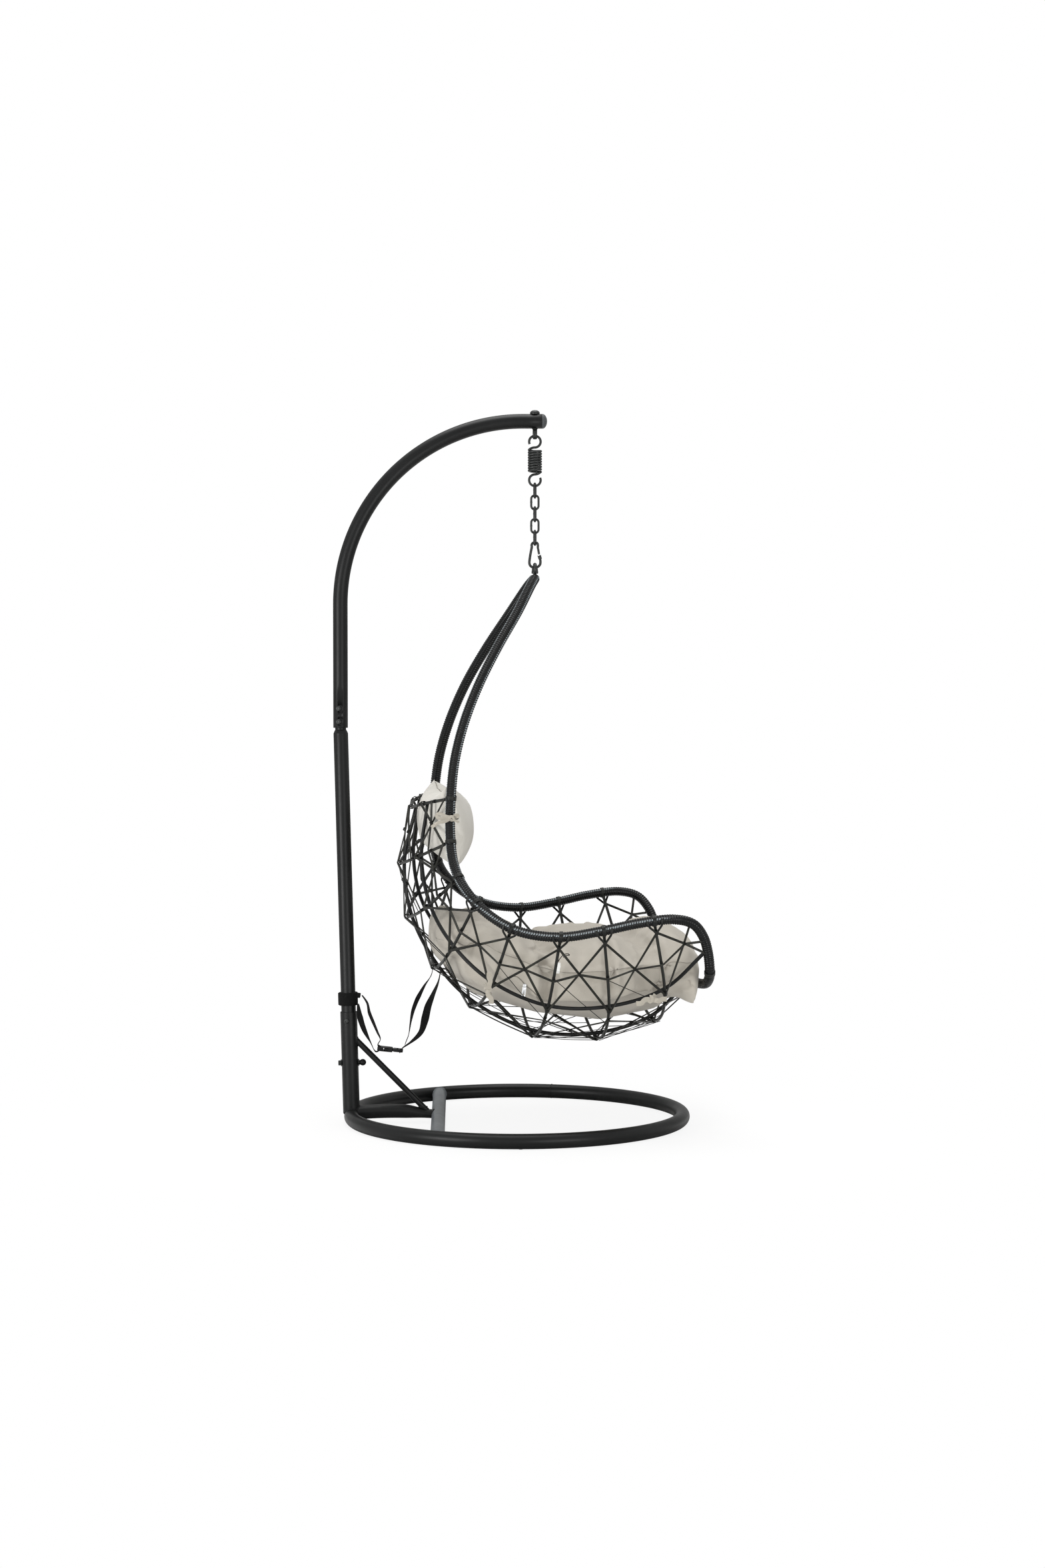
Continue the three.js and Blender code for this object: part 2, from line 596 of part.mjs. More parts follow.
function buildStand() {
  const stand = new THREE.Group();
  addPart(stand, 'base_ring', makeBaseRing(), COATED);
  addPart(stand, 'cross_bar', makeCrossBar(), COATED);
  addPart(stand, 'spine_tube', makeSpine(), COATED);
  addPart(stand, 'brace_tube', makeBrace(), COATED);
  addPart(stand, 'pole_socket', makeSocket(), COATED);
  addPart(stand, 'mid_pole', makePole(), COATED);
  addPart(stand, 'arm_tube', makeArm(), COATED);
  addPart(stand, 'arm_end_plug', makeArmPlug(), PLASTIC);
  ARM_SCREW_HEIGHTS.forEach((height, i) => {
    addPart(stand, `arm_screw_${i + 1}`, makeScrew(ARM_X, height, TUBE_RADIUS), ZINC);
  });
  const socketScrew = makeScrew(polePoint(SOCKET_SCREW_HEIGHT).x, SOCKET_SCREW_HEIGHT, SOCKET_RADIUS);
  addPart(stand, 'socket_screw', socketScrew, ZINC);
  addPart(stand, 'clamp_bolt', makeClampBolt(), ZINC);
  addPart(stand, 'clamp_washer_rear', makeClampWasher(-1), ZINC);
  addPart(stand, 'clamp_washer_front', makeClampWasher(1), ZINC);
  addPart(stand, 'clamp_knob', makeClampKnob(), PLASTIC);
  addPart(stand, 'eye_bolt', makeEyeBolt(), ZINC);
  addPart(stand, 'dome_nut', makeDomeNut(), ZINC);
  return stand;
}

// ---------------------------------------------------------------- hanger
const SPRING_RADIUS = (SPRING_OD - SPRING_WIRE) / 2;
const SPRING_PITCH = SPRING_WIRE + SPRING_GAP;
const HOOK_TOP = EYE_SEAT + HOOK_SEAT_GAP + SPRING_WIRE / 2; // centreline
const HOOK_CENTRE = HOOK_TOP - HOOK_RADIUS;
const HOOK_TO_COIL = SPRING_WIRE * 1.03; // from the coil's last turn up to the hook's circle
const COIL_HALF = (SPRING_TURNS * SPRING_PITCH) / 2;
const SPRING_CENTRE = HOOK_CENTRE - HOOK_RADIUS - HOOK_TO_COIL - COIL_HALF;
const LOWER_HOOK_BOTTOM = 2 * SPRING_CENTRE - HOOK_TOP; // centreline

/** The upper half of the spring's wire, from its middle to the tip of its hook. */
function halfSpring() {
  const stepsPerTurn = 8;
  const half = SPRING_TURNS / 2;
  const count = Math.round(half * stepsPerTurn);
  const coil = Array.from({ length: count + 1 }, (_, i) => {
    const turn = (half * i) / count;
    const angle = Math.PI / 2 + 2 * Math.PI * turn;
    return vec(SPRING_RADIUS * Math.cos(angle), SPRING_RADIUS * Math.sin(angle), SPRING_PITCH * turn);
  });
  const hookCentre = vec(0, 0, HOOK_CENTRE - SPRING_CENTRE);
  const hook = arc(hookCentre, HOOK_RADIUS, X, Z, -90, 270 - HOOK_OPENING, 14);
  const leave = coil[coil.length - 1];
  const handle = SPRING_RADIUS * 0.6;
  const crossing = new THREE.CubicBezierCurve3(
    leave,
    leave.clone().addScaledVector(Y, -handle),
    hook[0].clone().addScaledVector(X, -handle),
    hook[0],
  ).getPoints(5).slice(1, -1);
  return [...coil, ...crossing, ...hook];
}

function springPoints() {
  const upper = halfSpring();
  const lower = upper.slice(1).map((p) => vec(-p.x, p.y, -p.z)).reverse();
  return [...lower, ...upper].map((p) => p.clone().add(vec(HANG_X, 0, SPRING_CENTRE)));
}

/** The least clear distance between stretches of a wire that are not neighbours. */
function leastGap(points, wire) {
  const apart = 5; // points closer than this along the wire are neighbours
  let least = Infinity;
  for (let i = 0; i < points.length; i += 1) {
    for (let j = i + apart; j < points.length; j += 1) {
      least = Math.min(least, points[i].distanceTo(points[j]) - wire);
    }
  }
  return least;
}

function makeSpring() {
  const points = springPoints();
  console.log(`spring: least gap between turns ${leastGap(points, SPRING_WIRE).toFixed(2)} mm`);
  return rod(points, SPRING_WIRE / 2 * Math.cos(Math.PI / 5), 5);
}

const LINK_PITCH = LINK_LENGTH - 2 * LINK_WIRE - GAP;
const FIRST_LINK_TOP = LOWER_HOOK_BOTTOM + SPRING_WIRE / 2 + GAP + LINK_WIRE; // outside of its top bend

/** One chain link; its plane holds the given axis and Z. */
function makeLink(number, axis) {
  const radius = (LINK_WIDTH - LINK_WIRE) / 2;
  const top = FIRST_LINK_TOP - (number - 1) * LINK_PITCH;
  const upper = vec(HANG_X, 0, top - LINK_WIRE / 2 - radius);
  const lower = vec(HANG_X, 0, top - LINK_LENGTH + LINK_WIRE / 2 + radius);
  const points = [
    ...arc(upper, radius, axis, Z, 0, 180, 8),
    ...arc(lower, radius, axis, Z, 180, 360, 8),
  ];
  const normal = new THREE.Vector3().crossVectors(axis, Z);
  return swept(points, wireOutline(LINK_WIRE / 2, LINK_WIRE / 2, 6), () => normal, true);
}

const LAST_LINK_BOTTOM = FIRST_LINK_TOP - (LINK_COUNT - 1) * LINK_PITCH - LINK_LENGTH;
const CARABINER_TOP = LAST_LINK_BOTTOM + LINK_WIRE + CARABINER_SEAT_GAP + CARABINER_WIRE; // outside of its bow
// Centreline of the body from the gate's hinge over the bow, down the spine and up to the nose:
// sideways and down from the bow's crown.
const CARABINER_BODY = [
  [8.2, 13.5], [8.6, 9], [6.4, 2.6], [0, 0], [-6.4, 2.6], [-8.9, 8], [-8.4, 12], [-10.6, 24],
  [-14, 44.5], [-15, 57.5], [-12, 64.5], [-5, 68.9], [2, 69.3], [9, 66.5], [14.2, 60.5], [15.2, 52], [13.6, 42],
];
const GATE_TOP = [8.2, 13.5];
const GATE_FOOT = [11.4, 33];
const NOSE_LENGTH = 12;
const NOSE_WIDTH = 9.6;

function carabinerPoint([side, down]) {
  return vec(HANG_X + side, 0, CARABINER_TOP - CARABINER_WIRE / 2 - down);
}

function makeCarabinerBody() {
  const points = CARABINER_BODY.slice(1).map(carabinerPoint);
  const wire = rod(points, CARABINER_WIRE / 2 * Math.cos(Math.PI / 8), 8);
  const hinge = carabinerPoint(GATE_TOP);
  const tongue = block([GATE_WIRE, CARABINER_TONGUE, 9], [hinge.x, 0, hinge.z + 1.5]);
  const pin = bar(hinge.clone().addScaledVector(Y, -CARABINER_WIRE), hinge.clone().addScaledVector(Y, CARABINER_WIRE), CARABINER_PIN_RADIUS + GAP, 8);
  const noseTop = carabinerPoint([GATE_FOOT[0], GATE_FOOT[1] + 1.4]);
  const noseFoot = points[points.length - 1];
  const along = noseFoot.clone().sub(noseTop).normalize();
  const sleeve = bar(noseTop, noseTop.clone().addScaledVector(along, NOSE_LENGTH), NOSE_WIDTH / 2, 8);
  return wire.add(tongue).add(sleeve).subtract(pin);
}

function makeGate() {
  const hinge = carabinerPoint(GATE_TOP);
  const foot = carabinerPoint(GATE_FOOT);
  const head = hinge.clone().addScaledVector(foot.clone().sub(hinge).normalize(), -GATE_WIRE / 2 + 0.4);
  const slot = block([20, CARABINER_TONGUE + 2 * GAP, 13], [hinge.x, 0, hinge.z]);
  const pin = bar(hinge.clone().addScaledVector(Y, -CARABINER_WIRE), hinge.clone().addScaledVector(Y, CARABINER_WIRE), CARABINER_PIN_RADIUS + GAP, 8);
  return bar(head, foot, GATE_WIRE / 2, 8).subtract(slot).subtract(pin);
}

function makeGatePin() {
  const hinge = carabinerPoint(GATE_TOP);
  const half = GATE_WIRE / 2 - 0.2;
  return bar(hinge.clone().addScaledVector(Y, -half), hinge.clone().addScaledVector(Y, half), CARABINER_PIN_RADIUS, 8);
}

const CARABINER_DROP = CARABINER_BODY.reduce((low, [, down]) => Math.max(low, down), 0);
const EYE_TOP_WIRE = CARABINER_TOP - CARABINER_WIRE - CARABINER_DROP + CARABINER_WIRE + GAP + BASKET_EYE_WIRE / 2;
const APEX_HEIGHT = EYE_TOP_WIRE - 2 * BASKET_EYE_RADIUS + 1.5;

function buildHanger() {
  const hanger = new THREE.Group();
  addPart(hanger, 'hanger_spring', makeSpring(), ZINC);
  for (let number = 1; number <= LINK_COUNT; number += 1) {
    addPart(hanger, `chain_link_${number}`, makeLink(number, number % 2 ? Y : X), ZINC);
  }
  addPart(hanger, 'carabiner_body', makeCarabinerBody(), ZINC);
  addPart(hanger, 'carabiner_gate', makeGate(), ZINC);
  addPart(hanger, 'carabiner_pin', makeGatePin(), ZINC);
  return hanger;
}

// ---------------------------------------------------------------- basket
const halfLoop = [...SIDE_FRAME, ...FRONT_BAR].map((p) => vec(...p));
const loopCurve = new THREE.CatmullRomCurve3([
  ...halfLoop, ...halfLoop.slice(0, -1).reverse().map((p) => vec(p.x, -p.y, p.z)),
]);
const LOOP_STEPS = 120;
const loopPoints = loopCurve.getSpacedPoints(LOOP_STEPS);
// The frame tubes meet the front bar at this point of the loop.
const CORNER = loopPoints.findIndex((p) => p.x > 350 && p.z < FRONT_BAR[0][2]);

/** The same point or solid on the other side of the basket. */
const mirrored = (p) => vec(p.x, -p.y, p.z);
function mirrorSolid(body) {
  return moved(body, new THREE.Matrix4().makeScale(1, -1, 1));
}

/** The first point of the side frame, counted from the apex, past a height or a forward place. */
function frameAt(along, value) {
  const points = loopCurve.getPoints(1200);
  const sign = along === 'z' ? -1 : 1;
  const start = along === 'z' ? 0 : points.findIndex((p) => p.z < SEAT_TURN_HEIGHT);
  return points.slice(start).find((p) => sign * (p[along] - value) >= 0);
}

/** A step from one point towards another. */
function towards(from, to, distance) {
  return from.clone().addScaledVector(to.clone().sub(from).normalize(), distance);
}

class Hoop {
  constructor({ along, at, bilge, keel }) {
    this.rim = frameAt(along, at);
    this.bilge = vec(...bilge);
    this.keel = vec(keel[0], 0, keel[1]);
    this.curve = new THREE.CatmullRomCurve3([
      this.rim, this.bilge, this.keel, mirrored(this.bilge), mirrored(this.rim),
    ]);
  }

  /** A point at a share of the way from the left rim to the keel. */
  at(share) {
    return this.curve.getPoint(share / 2);
  }

  makeRib() {
    const steps = 16;
    const points = Array.from({ length: steps + 1 }, (_, i) => this.curve.getPoint(i / steps));
    return rod(points, RIB_RADIUS, 6).subtract(frameClearance);
  }
}

const frameClearance = rod(loopPoints, WRAP_RADIUS / Math.cos(Math.PI / 8) + GAP, 8);
const hoops = HOOPS.map((row) => new Hoop(row));
const RIM_SHARE = 0.09; // where strands meet a rib just under the rim
const MIDDLE_SHARE = 0.27;
const BILGE_SHARE = 0.5;
const UNDER_BILGE_SHARE = 0.57;
const KEEL_SHARE = 0.995;

const CAGE_CENTRE = vec(0, 0, 700);

/** The direction out of the cage at a site: square to the rib and to the row of sites. */
function outwards(index, share) {
  const site = hoops[index].at(share);
  const rib = hoops[index].at(share + 0.01).sub(hoops[index].at(share - 0.01));
  const row = hoops[Math.min(index + 1, hoops.length - 1)].at(share).sub(hoops[Math.max(index - 1, 0)].at(share));
  const normal = rib.cross(row).normalize();
  return normal.dot(site.sub(CAGE_CENTRE)) < 0 ? normal.negate() : normal;
}

/** The sites of every hoop at a share from rim to keel, moved outwards by offset. */
function sites(share, offset) {
  return hoops.map((hoop, i) => hoop.at(share).addScaledVector(outwards(i, share), offset));
}

/** A point of the frame loop moved outwards by offset. */
function frameSite(point, offset) {
  return point.clone().addScaledVector(point.clone().sub(CAGE_CENTRE).normalize(), offset);
}

/** The plane across the tube at the corner where a frame tube meets the front bar. */
function cornerPlane() {
  const normal = loopPoints[CORNER + 1].clone().sub(loopPoints[CORNER - 1]).normalize();
  return { normal: normal.toArray(), offset: normal.dot(loopPoints[CORNER]) };
}

function makeSideFrame(eye) {
  const middle = block([200, 60, 200], [0, -30 + GAP / 2, FRAME_TOP]);
  const above = block([200, 200, 60], [0, 0, FRAME_TOP + 30]);
  const { normal, offset } = cornerPlane();
  return rod(loopPoints.slice(0, CORNER + 2), WRAP_RADIUS, 8)
    .subtract(middle).subtract(above).subtract(eye)
    .trimByPlane(normal.map((n) => -n), GAP / 2 - offset);
}

function makeFrontBar() {
  const { normal, offset } = cornerPlane();
  const points = loopPoints.slice(CORNER - 1, loopPoints.length - CORNER + 1);
  const [x, y, z] = normal;
  return rod(points, WRAP_RADIUS, 8)
    .trimByPlane([x, y, z], GAP / 2 + offset)
    .trimByPlane([x, -y, z], GAP / 2 + offset);
}

/** The long rod through one site of every hoop, on the inside, to a point of the frame. */
function makeLongRod(share, radius, end) {
  const through = [...sites(share, -(RIB_RADIUS + radius + ROD_GAP)), end];
  const curve = new THREE.CatmullRomCurve3(through);
  const perBay = 2;
  const count = (through.length - 1) * perBay;
  const points = Array.from({ length: count + 1 }, (_, i) => curve.getPoint(i / count));
  return rod(points, radius, 6).subtract(frameClearance);
}

/** The point midway between two lines where they pass closest. */
function crossing([a, b], [c, d]) {
  const u = b.clone().sub(a);
  const v = d.clone().sub(c);
  const w = a.clone().sub(c);
  const [uu, uv, vv, uw, vw] = [u.dot(u), u.dot(v), v.dot(v), u.dot(w), v.dot(w)];
  const scale = uu * vv - uv * uv;
  const s = (uv * vw - vv * uw) / scale;
  const t = (uu * vw - uv * uw) / scale;
  return a.clone().addScaledVector(u, s).add(c.clone().addScaledVector(v, t)).multiplyScalar(0.5);
}

const NET_STEP = 1.9; // crossing strands lie one over the other, sunk into each other a little

/** A strand's point lifted off the cage by a number of layers. */
function lifted(point, layers) {
  return point.clone().addScaledVector(point.clone().sub(CAGE_CENTRE).normalize(), layers * NET_STEP);
}

/** One long flat strand through points, which turns tightly at each of them. */
function makeStrand(corners, layer) {
  const turn = STRAND_WIDTH * 0.7;
  const points = corners.flatMap((corner, i) => {
    const [before, after] = [corners[i - 1], corners[i + 1]];
    if (!before || !after) return [corner];
    const straight = corner.clone().sub(before).normalize().dot(after.clone().sub(corner).normalize());
    if (straight > 0.9) return [corner];
    return [towards(corner, before, turn), towards(corner, after, turn)];
  }).map((point) => lifted(point, layer));
  const outline = [[-1, -1], [1, -1], [1, 1], [-1, 1]]
    .map(([s, u]) => [(s * STRAND_WIDTH) / 2, (u * STRAND_THICKNESS) / 2]);
  return swept(points, outline, (i) => points[i].clone().sub(CAGE_CENTRE).normalize());
}

/** Two strands that zigzag between the same two rows of sites and cross in every bay. */
function zigzags(upper, lower) {
  const middles = upper.slice(1).map((site, i) => crossing([upper[i], lower[i + 1]], [lower[i], site]));
  const path = (first) => upper.flatMap((_, i) => {
    const site = (i + first) % 2 ? lower[i] : upper[i];
    return i < middles.length ? [site, middles[i]] : [site];
  });
  return { middles, strands: [makeStrand(path(0), 0), makeStrand(path(1), 1)] };
}

const STRAND_OFFSET = RIB_RADIUS / Math.cos(Math.PI / 6) + STRAND_THICKNESS / 2 + 2.2;
const STRAND_END = 6; // strands meet the frame on its outer side

/** The left net from rim to bilge: crossed strands in every bay and one level strand. */
function makeSideNet() {
  const [rim, middle, bilge] = [RIM_SHARE, MIDDLE_SHARE, BILGE_SHARE].map((share) => sites(share, STRAND_OFFSET));
  rim.push(frameSite(frameAt('x', RIM_STRAND_END), STRAND_END));
  bilge.push(frameSite(frameAt('x', BILGE_STRAND_END), STRAND_END));
  const { middles, strands } = zigzags(rim, bilge);
  const level = middle.flatMap((site, i) => [site, middles[i]]);
  level.push(frameSite(frameAt('x', LEVEL_STRAND_END), STRAND_END));
  return union([...strands, makeStrand(level, 2)]).subtract(frameClearance);
}

/** The net from bilge to keel, the same on both sides. */
function makeBottomNet() {
  const [side, keel] = [UNDER_BILGE_SHARE, KEEL_SHARE].map((share) => sites(share, STRAND_OFFSET));
  side.push(frameSite(loopCurve.getPoint(0.475), STRAND_END));
  keel.push(frameSite(loopCurve.getPoint(0.498), STRAND_END));
  const left = union(zigzags(side, keel).strands).subtract(frameClearance);
  return left.add(mirrorSolid(left));
}

/** The eye at the apex: a ring on a collar, with a stud between the frame tubes. */
function makeBasketEye() {
  const height = EYE_TOP_WIRE - BASKET_EYE_RADIUS - APEX_HEIGHT;
  const centre = vec(0, 0, FRAME_TOP + height);
  const points = arc(centre, BASKET_EYE_RADIUS, Y, Z, 0, 360, 16).slice(0, -1);
  const wire = BASKET_EYE_WIRE / 2;
  const ring = swept(points, wireOutline(wire, wire, 8), () => X, true);
  const collar = shifted(turned([
    [0, GAP], [BASKET_EYE_COLLAR, GAP], [BASKET_EYE_COLLAR * 0.94, 5], [BASKET_EYE_COLLAR * 0.66, 14], [0, 14],
  ], 14), 0, 0, FRAME_TOP);
  const stud = bar(vec(0, 0, FRAME_TOP - BASKET_EYE_STUD_LENGTH), vec(0, 0, FRAME_TOP + 1), BASKET_EYE_STUD);
  const hole = bar(centre.clone().addScaledVector(X, -20), centre.clone().addScaledVector(X, 20), BASKET_EYE_RADIUS - wire, 14);
  return ring.add(collar.subtract(hole)).add(stud);
}

// ---------------------------------------------------------------- cushions
/** A value read from rows of [place, value] by straight lines between them. */
function between(rows, place) {
  const last = rows.length - 2;
  const i = Math.min(Math.max(rows.findIndex(([at]) => at > place) - 1, 0), last);
  const index = place > rows[last + 1][0] ? last : i;
  const [[a, from], [b, to]] = [rows[index], rows[index + 1]];
  return from + ((to - from) * (place - a)) / (b - a);
}

const keelRows = [...hoops.slice(2).map((h) => [h.keel.x, h.keel.z]), [430, 372]];
const bilgeWidthRows = [...hoops.slice(2).map((h) => [h.bilge.x, h.bilge.y]), [405, 405]];
const bilgeHeightRows = [...hoops.slice(2).map((h) => [h.bilge.x, h.bilge.z]), [405, 448]];
const seatTopRows = [[-300, 560], [-255, 608], [-190, 612], [-105, 574], [0, 544], [90, 547], [192, 552], [290, 570], [345, 572], [380, 556], [410, 515]];
const sagRows = [[-300, 0], [-176, 12], [-8, 45], [120, 36], [200, 28], [328, 12], [430, 0]]; // how far the filling spans above the hollow of the cage
const seamRows = [[-300, 520], [-200, 520], [-125, 500], [-60, 478], [45, 456], [142, 460], [221, 476], [410, 480]];
const RIM_FLARE = 0.62; // how fast the cage widens above the bilge, width per height

/** Height of the cushion's underside, which follows the cage. */
function undersideAt(x, y) {
  const keel = between(keelRows, x) + between(sagRows, x);
  const width = between(bilgeWidthRows, x);
  const height = between(bilgeHeightRows, x);
  const share = Math.abs(y) / width;
  const cage = share < 1
    ? keel + (height - keel) * share ** 2.2
    : height + (Math.abs(y) - width) / RIM_FLARE;
  const slope = share < 1 ? (2.2 * (height - keel) * share ** 1.2) / width : 1 / RIM_FLARE;
  return cage + CUSHION_INSET * Math.sqrt(1 + slope ** 2);
}

/** Half width of the cushion's seam line. */
function seamWidthAt(x) {
  const seam = between(seamRows, x);
  const cage = between(bilgeWidthRows, x) + (seam - between(bilgeHeightRows, x)) * RIM_FLARE;
  const back = Math.sqrt(Math.max(1 - ((CUSHION_BACK + 60 - x) / 62) ** 2, 0));
  const front = Math.sqrt(Math.max(1 - ((x - CUSHION_FRONT + 70) / 74) ** 2, 0));
  const round = x < CUSHION_BACK + 60 ? 0.45 + 0.55 * back : (x > CUSHION_FRONT - 70 ? 0.8 + 0.2 * front : 1);
  return (cage - CUSHION_INSET * Math.hypot(1, RIM_FLARE)) * round;
}

/** Height of the cushion's top, with its crown and sewn valleys. */
function topAt(x, y, halfWidth) {
  const seam = between(seamRows, x);
  const share = Math.min(Math.abs(y) / halfWidth, 1);
  const crown = Math.sqrt(Math.max(1 - share ** 4, 0));
  const valley = TUFTS.reduce((deep, at) => Math.max(deep, Math.exp(-(((x - at) / TUFT_WIDTH) ** 2))), 0);
  return seam + (between(seatTopRows, x) - seam) * crown - TUFT_DEPTH * valley * (1 - share ** 6);
}

/** One cross-section of the seat cushion; ends are drawn in towards their middle height. */
function cushionSection(x, fullness) {
  const halfWidth = seamWidthAt(x);
  const half = CUSHION_SIDES / 2;
  const ring = [];
  for (let j = 0; j < half; j += 1) {
    const y = -halfWidth * Math.cos((Math.PI * j) / half);
    ring.push(vec(x, y, j === 0 ? between(seamRows, x) : Math.min(undersideAt(x, y), between(seamRows, x) - 4)));
  }
  for (let j = 0; j < half; j += 1) {
    const y = halfWidth * Math.cos((Math.PI * j) / half);
    ring.push(vec(x, y, j === 0 ? between(seamRows, x) : topAt(x, y, halfWidth)));
  }
  const middle = ring.reduce((sum, p) => sum + p.z, 0) / ring.length;
  ring.forEach((p) => { p.z = middle + (p.z - middle) * fullness; });
  return ring;
}

function makeSeatCushion() {
  const rings = Array.from({ length: CUSHION_STATIONS }, (_, i) => {
    const t = i / (CUSHION_STATIONS - 1);
    const x = THREE.MathUtils.lerp(CUSHION_BACK, CUSHION_FRONT, t);
    const end = Math.min(t, 1 - t) * (CUSHION_STATIONS - 1);
    return cushionSection(x, (t < 0.5 ? [0.62, 0.88] : [0.82, 0.96])[Math.round(end)] ?? 1);
  });
  return loft(rings);
}

/** The head pillow: a crowned pad with drawn-in sides and pointed corners, leaning back. */
function makeHeadPillow() {
  const rings = Array.from({ length: PILLOW_STATIONS }, (_, i) => {
    const share = -1 + (2 * i) / (PILLOW_STATIONS - 1);
    const y = share * PILLOW_HALF_WIDTH;
    const fade = Math.max(1 - Math.abs(share) ** 2.6, 0);
    const thick = PILLOW_HALF_THICKNESS * (0.12 + 0.88 * Math.sqrt(fade));
    const tall = PILLOW_HALF_HEIGHT * (0.9 + 0.1 * share ** 2) * (Math.abs(share) === 1 ? 0.93 : 1);
    return Array.from({ length: PILLOW_SIDES }, (_unused, j) => {
      const angle = (2 * Math.PI * j) / PILLOW_SIDES;
      const across = thick * Math.cos(angle) * Math.abs(Math.cos(angle)) ** 0.15;
      const up = tall * Math.sin(angle);
      const back = -Math.sin(PILLOW_LEAN) * up + Math.cos(PILLOW_LEAN) * across;
      const rise = Math.cos(PILLOW_LEAN) * up + Math.sin(PILLOW_LEAN) * across;
      return vec(PILLOW_CENTRE[0] + back, y, PILLOW_CENTRE[1] + rise);
    });
  });
  return loft(rings);
}

const basketFrame = new THREE.Matrix4().makeTranslation(HANG_X, 0, APEX_HEIGHT - FRAME_TOP)
  .multiply(new THREE.Matrix4().makeRotationZ(BASKET_TURN));

function buildBasket() {
  const basket = new THREE.Group();
  basket.applyMatrix4(basketFrame);
  const eye = makeBasketEye();
  const eyeClearance = bar(vec(0, 0, FRAME_TOP - BASKET_EYE_STUD_LENGTH - 1), vec(0, 0, FRAME_TOP + 1), BASKET_EYE_STUD + GAP);
  const side = makeSideFrame(eyeClearance);
  addPart(basket, 'basket_eye', eye, ZINC);
  addPart(basket, 'side_frame_left', side, WICKER);
  addPart(basket, 'side_frame_right', mirrorSolid(side), WICKER);
  addPart(basket, 'front_bar', makeFrontBar(), WICKER);
  hoops.forEach((hoop, i) => addPart(basket, `rib_${i + 1}`, hoop.makeRib(), COATED));
  addPart(basket, 'keel_rod', makeLongRod(1, KEEL_RADIUS, loopCurve.getPoint(0.5)), COATED);
  const bilge = makeLongRod(BILGE_SHARE, BILGE_RADIUS, frameSite(frameAt('x', BILGE_ROD_END), -STRAND_END));
  addPart(basket, 'bilge_rod_left', bilge, COATED);
  addPart(basket, 'bilge_rod_right', mirrorSolid(bilge), COATED);
  const net = makeSideNet();
  addPart(basket, 'side_net_left', net, STRAND);
  addPart(basket, 'side_net_right', mirrorSolid(net), STRAND);
  addPart(basket, 'bottom_net', makeBottomNet(), STRAND);
  addPart(basket, 'seat_cushion', makeSeatCushion(), FABRIC);
  addPart(basket, 'head_pillow', makeHeadPillow(), FABRIC);
  return basket;
}

// ---------------------------------------------------------------- safety strap
const STRAP_SIDE = -24; // the strap hangs beside the brace
const BUCKLE_START = [72, 208]; // rear end of the buckle, at its mid height
const BUCKLE_TILT = THREE.MathUtils.degToRad(6);
const buckleFrame = new THREE.Matrix4().makeTranslation(BUCKLE_START[0], STRAP_SIDE, BUCKLE_START[1])
  .multiply(new THREE.Matrix4().makeRotationY(BUCKLE_TILT));
const bucklePoint = (x, y, z) => vec(x, y, z).applyMatrix4(buckleFrame);
const SLOT_LENGTH = 5;
const TONGUE_START = BUCKLE_LENGTH + GAP + 1;
const TONGUE_LENGTH = 27;
const TONGUE_SLOT = 0.8; // share of the tongue's length where its slot is
const TONGUE_THICKNESS = BUCKLE_THICKNESS - 4;

function makeStrapCollar() {
  const inner = TUBE_RADIUS / Math.cos(Math.PI / 16) + GAP;
  const band = poleSleeve(inner + COLLAR_THICKNESS, inner, COLLAR_FOOT, COLLAR_FOOT + COLLAR_HEIGHT);
  const at = polePoint(COLLAR_FOOT + COLLAR_HEIGHT - LUG_BELOW_TOP);
  const lug = block(LUG_SIZE, [at.x + inner + COLLAR_THICKNESS + LUG_SIZE[0] / 3, LUG_SIDE, at.z]);
  return band.add(lug);
}

// From the collar's lug down to the buckle, round its rear bar and back up to the collar's foot.
// The middle rows are in the buckle's frame: they wrap the webbing round a bar through a slot.
const WRAP_REACH = BUCKLE_THICKNESS / 2 + WEBBING_THICKNESS / 2 + 0.9;
const POLE_STRAP_DOWN = [
  [35, -6, 349, 0], [52, -12, 322, 15], [50, -18, 300, 40], [62, -22, 278, 30], [73, -24, 252, 10],
  [80, -24, 232, 0],
];
const POLE_STRAP_UP = [
  [55, -25, 224, 10], [43, -27, 254, 30], [32, -28, 292, 50], [29, -26, 322, 60],
];
// From below the tongue, through its slot, up to the rib by the keel, round it and back down.
const BASKET_STRAP_UP = [
  [160, -27, 222, 5], [190, -38, 252, 30], [203, -52, 292, 60], [211, -66, 325, 50],
  [225, -82, 360, 25], [241, -98, 402, 5],
];
const BASKET_STRAP_DOWN = [
  [220, -98, 415, 0], [202, -90, 387, 15], [185, -78, 354, 30], [172, -64, 320, 25],
  [164, -50, 283, 10], [158, -36, 247, 0], [149, -26, 222, 0],
];
const STRAP_LOOP_SIDE = 82; // the loop's distance from the keel along the fourth rib

/** Rows given in the buckle's frame as [x, z], as rows of the strap's list. */
function inBuckle(rows) {
  return rows.map(([x, z]) => [...bucklePoint(x, 0, z).toArray(), 0]);
}

/** A half circle of webbing round a bar of a hoop, from the front over the top to the rear. */
function roundRib(centre, radius) {
  return [20, 65, 115, 160].map((degrees) => {
    const angle = THREE.MathUtils.degToRad(degrees);
    return [centre.x + radius * Math.cos(angle), centre.y, centre.z + radius * Math.sin(angle), 0];
  });
}

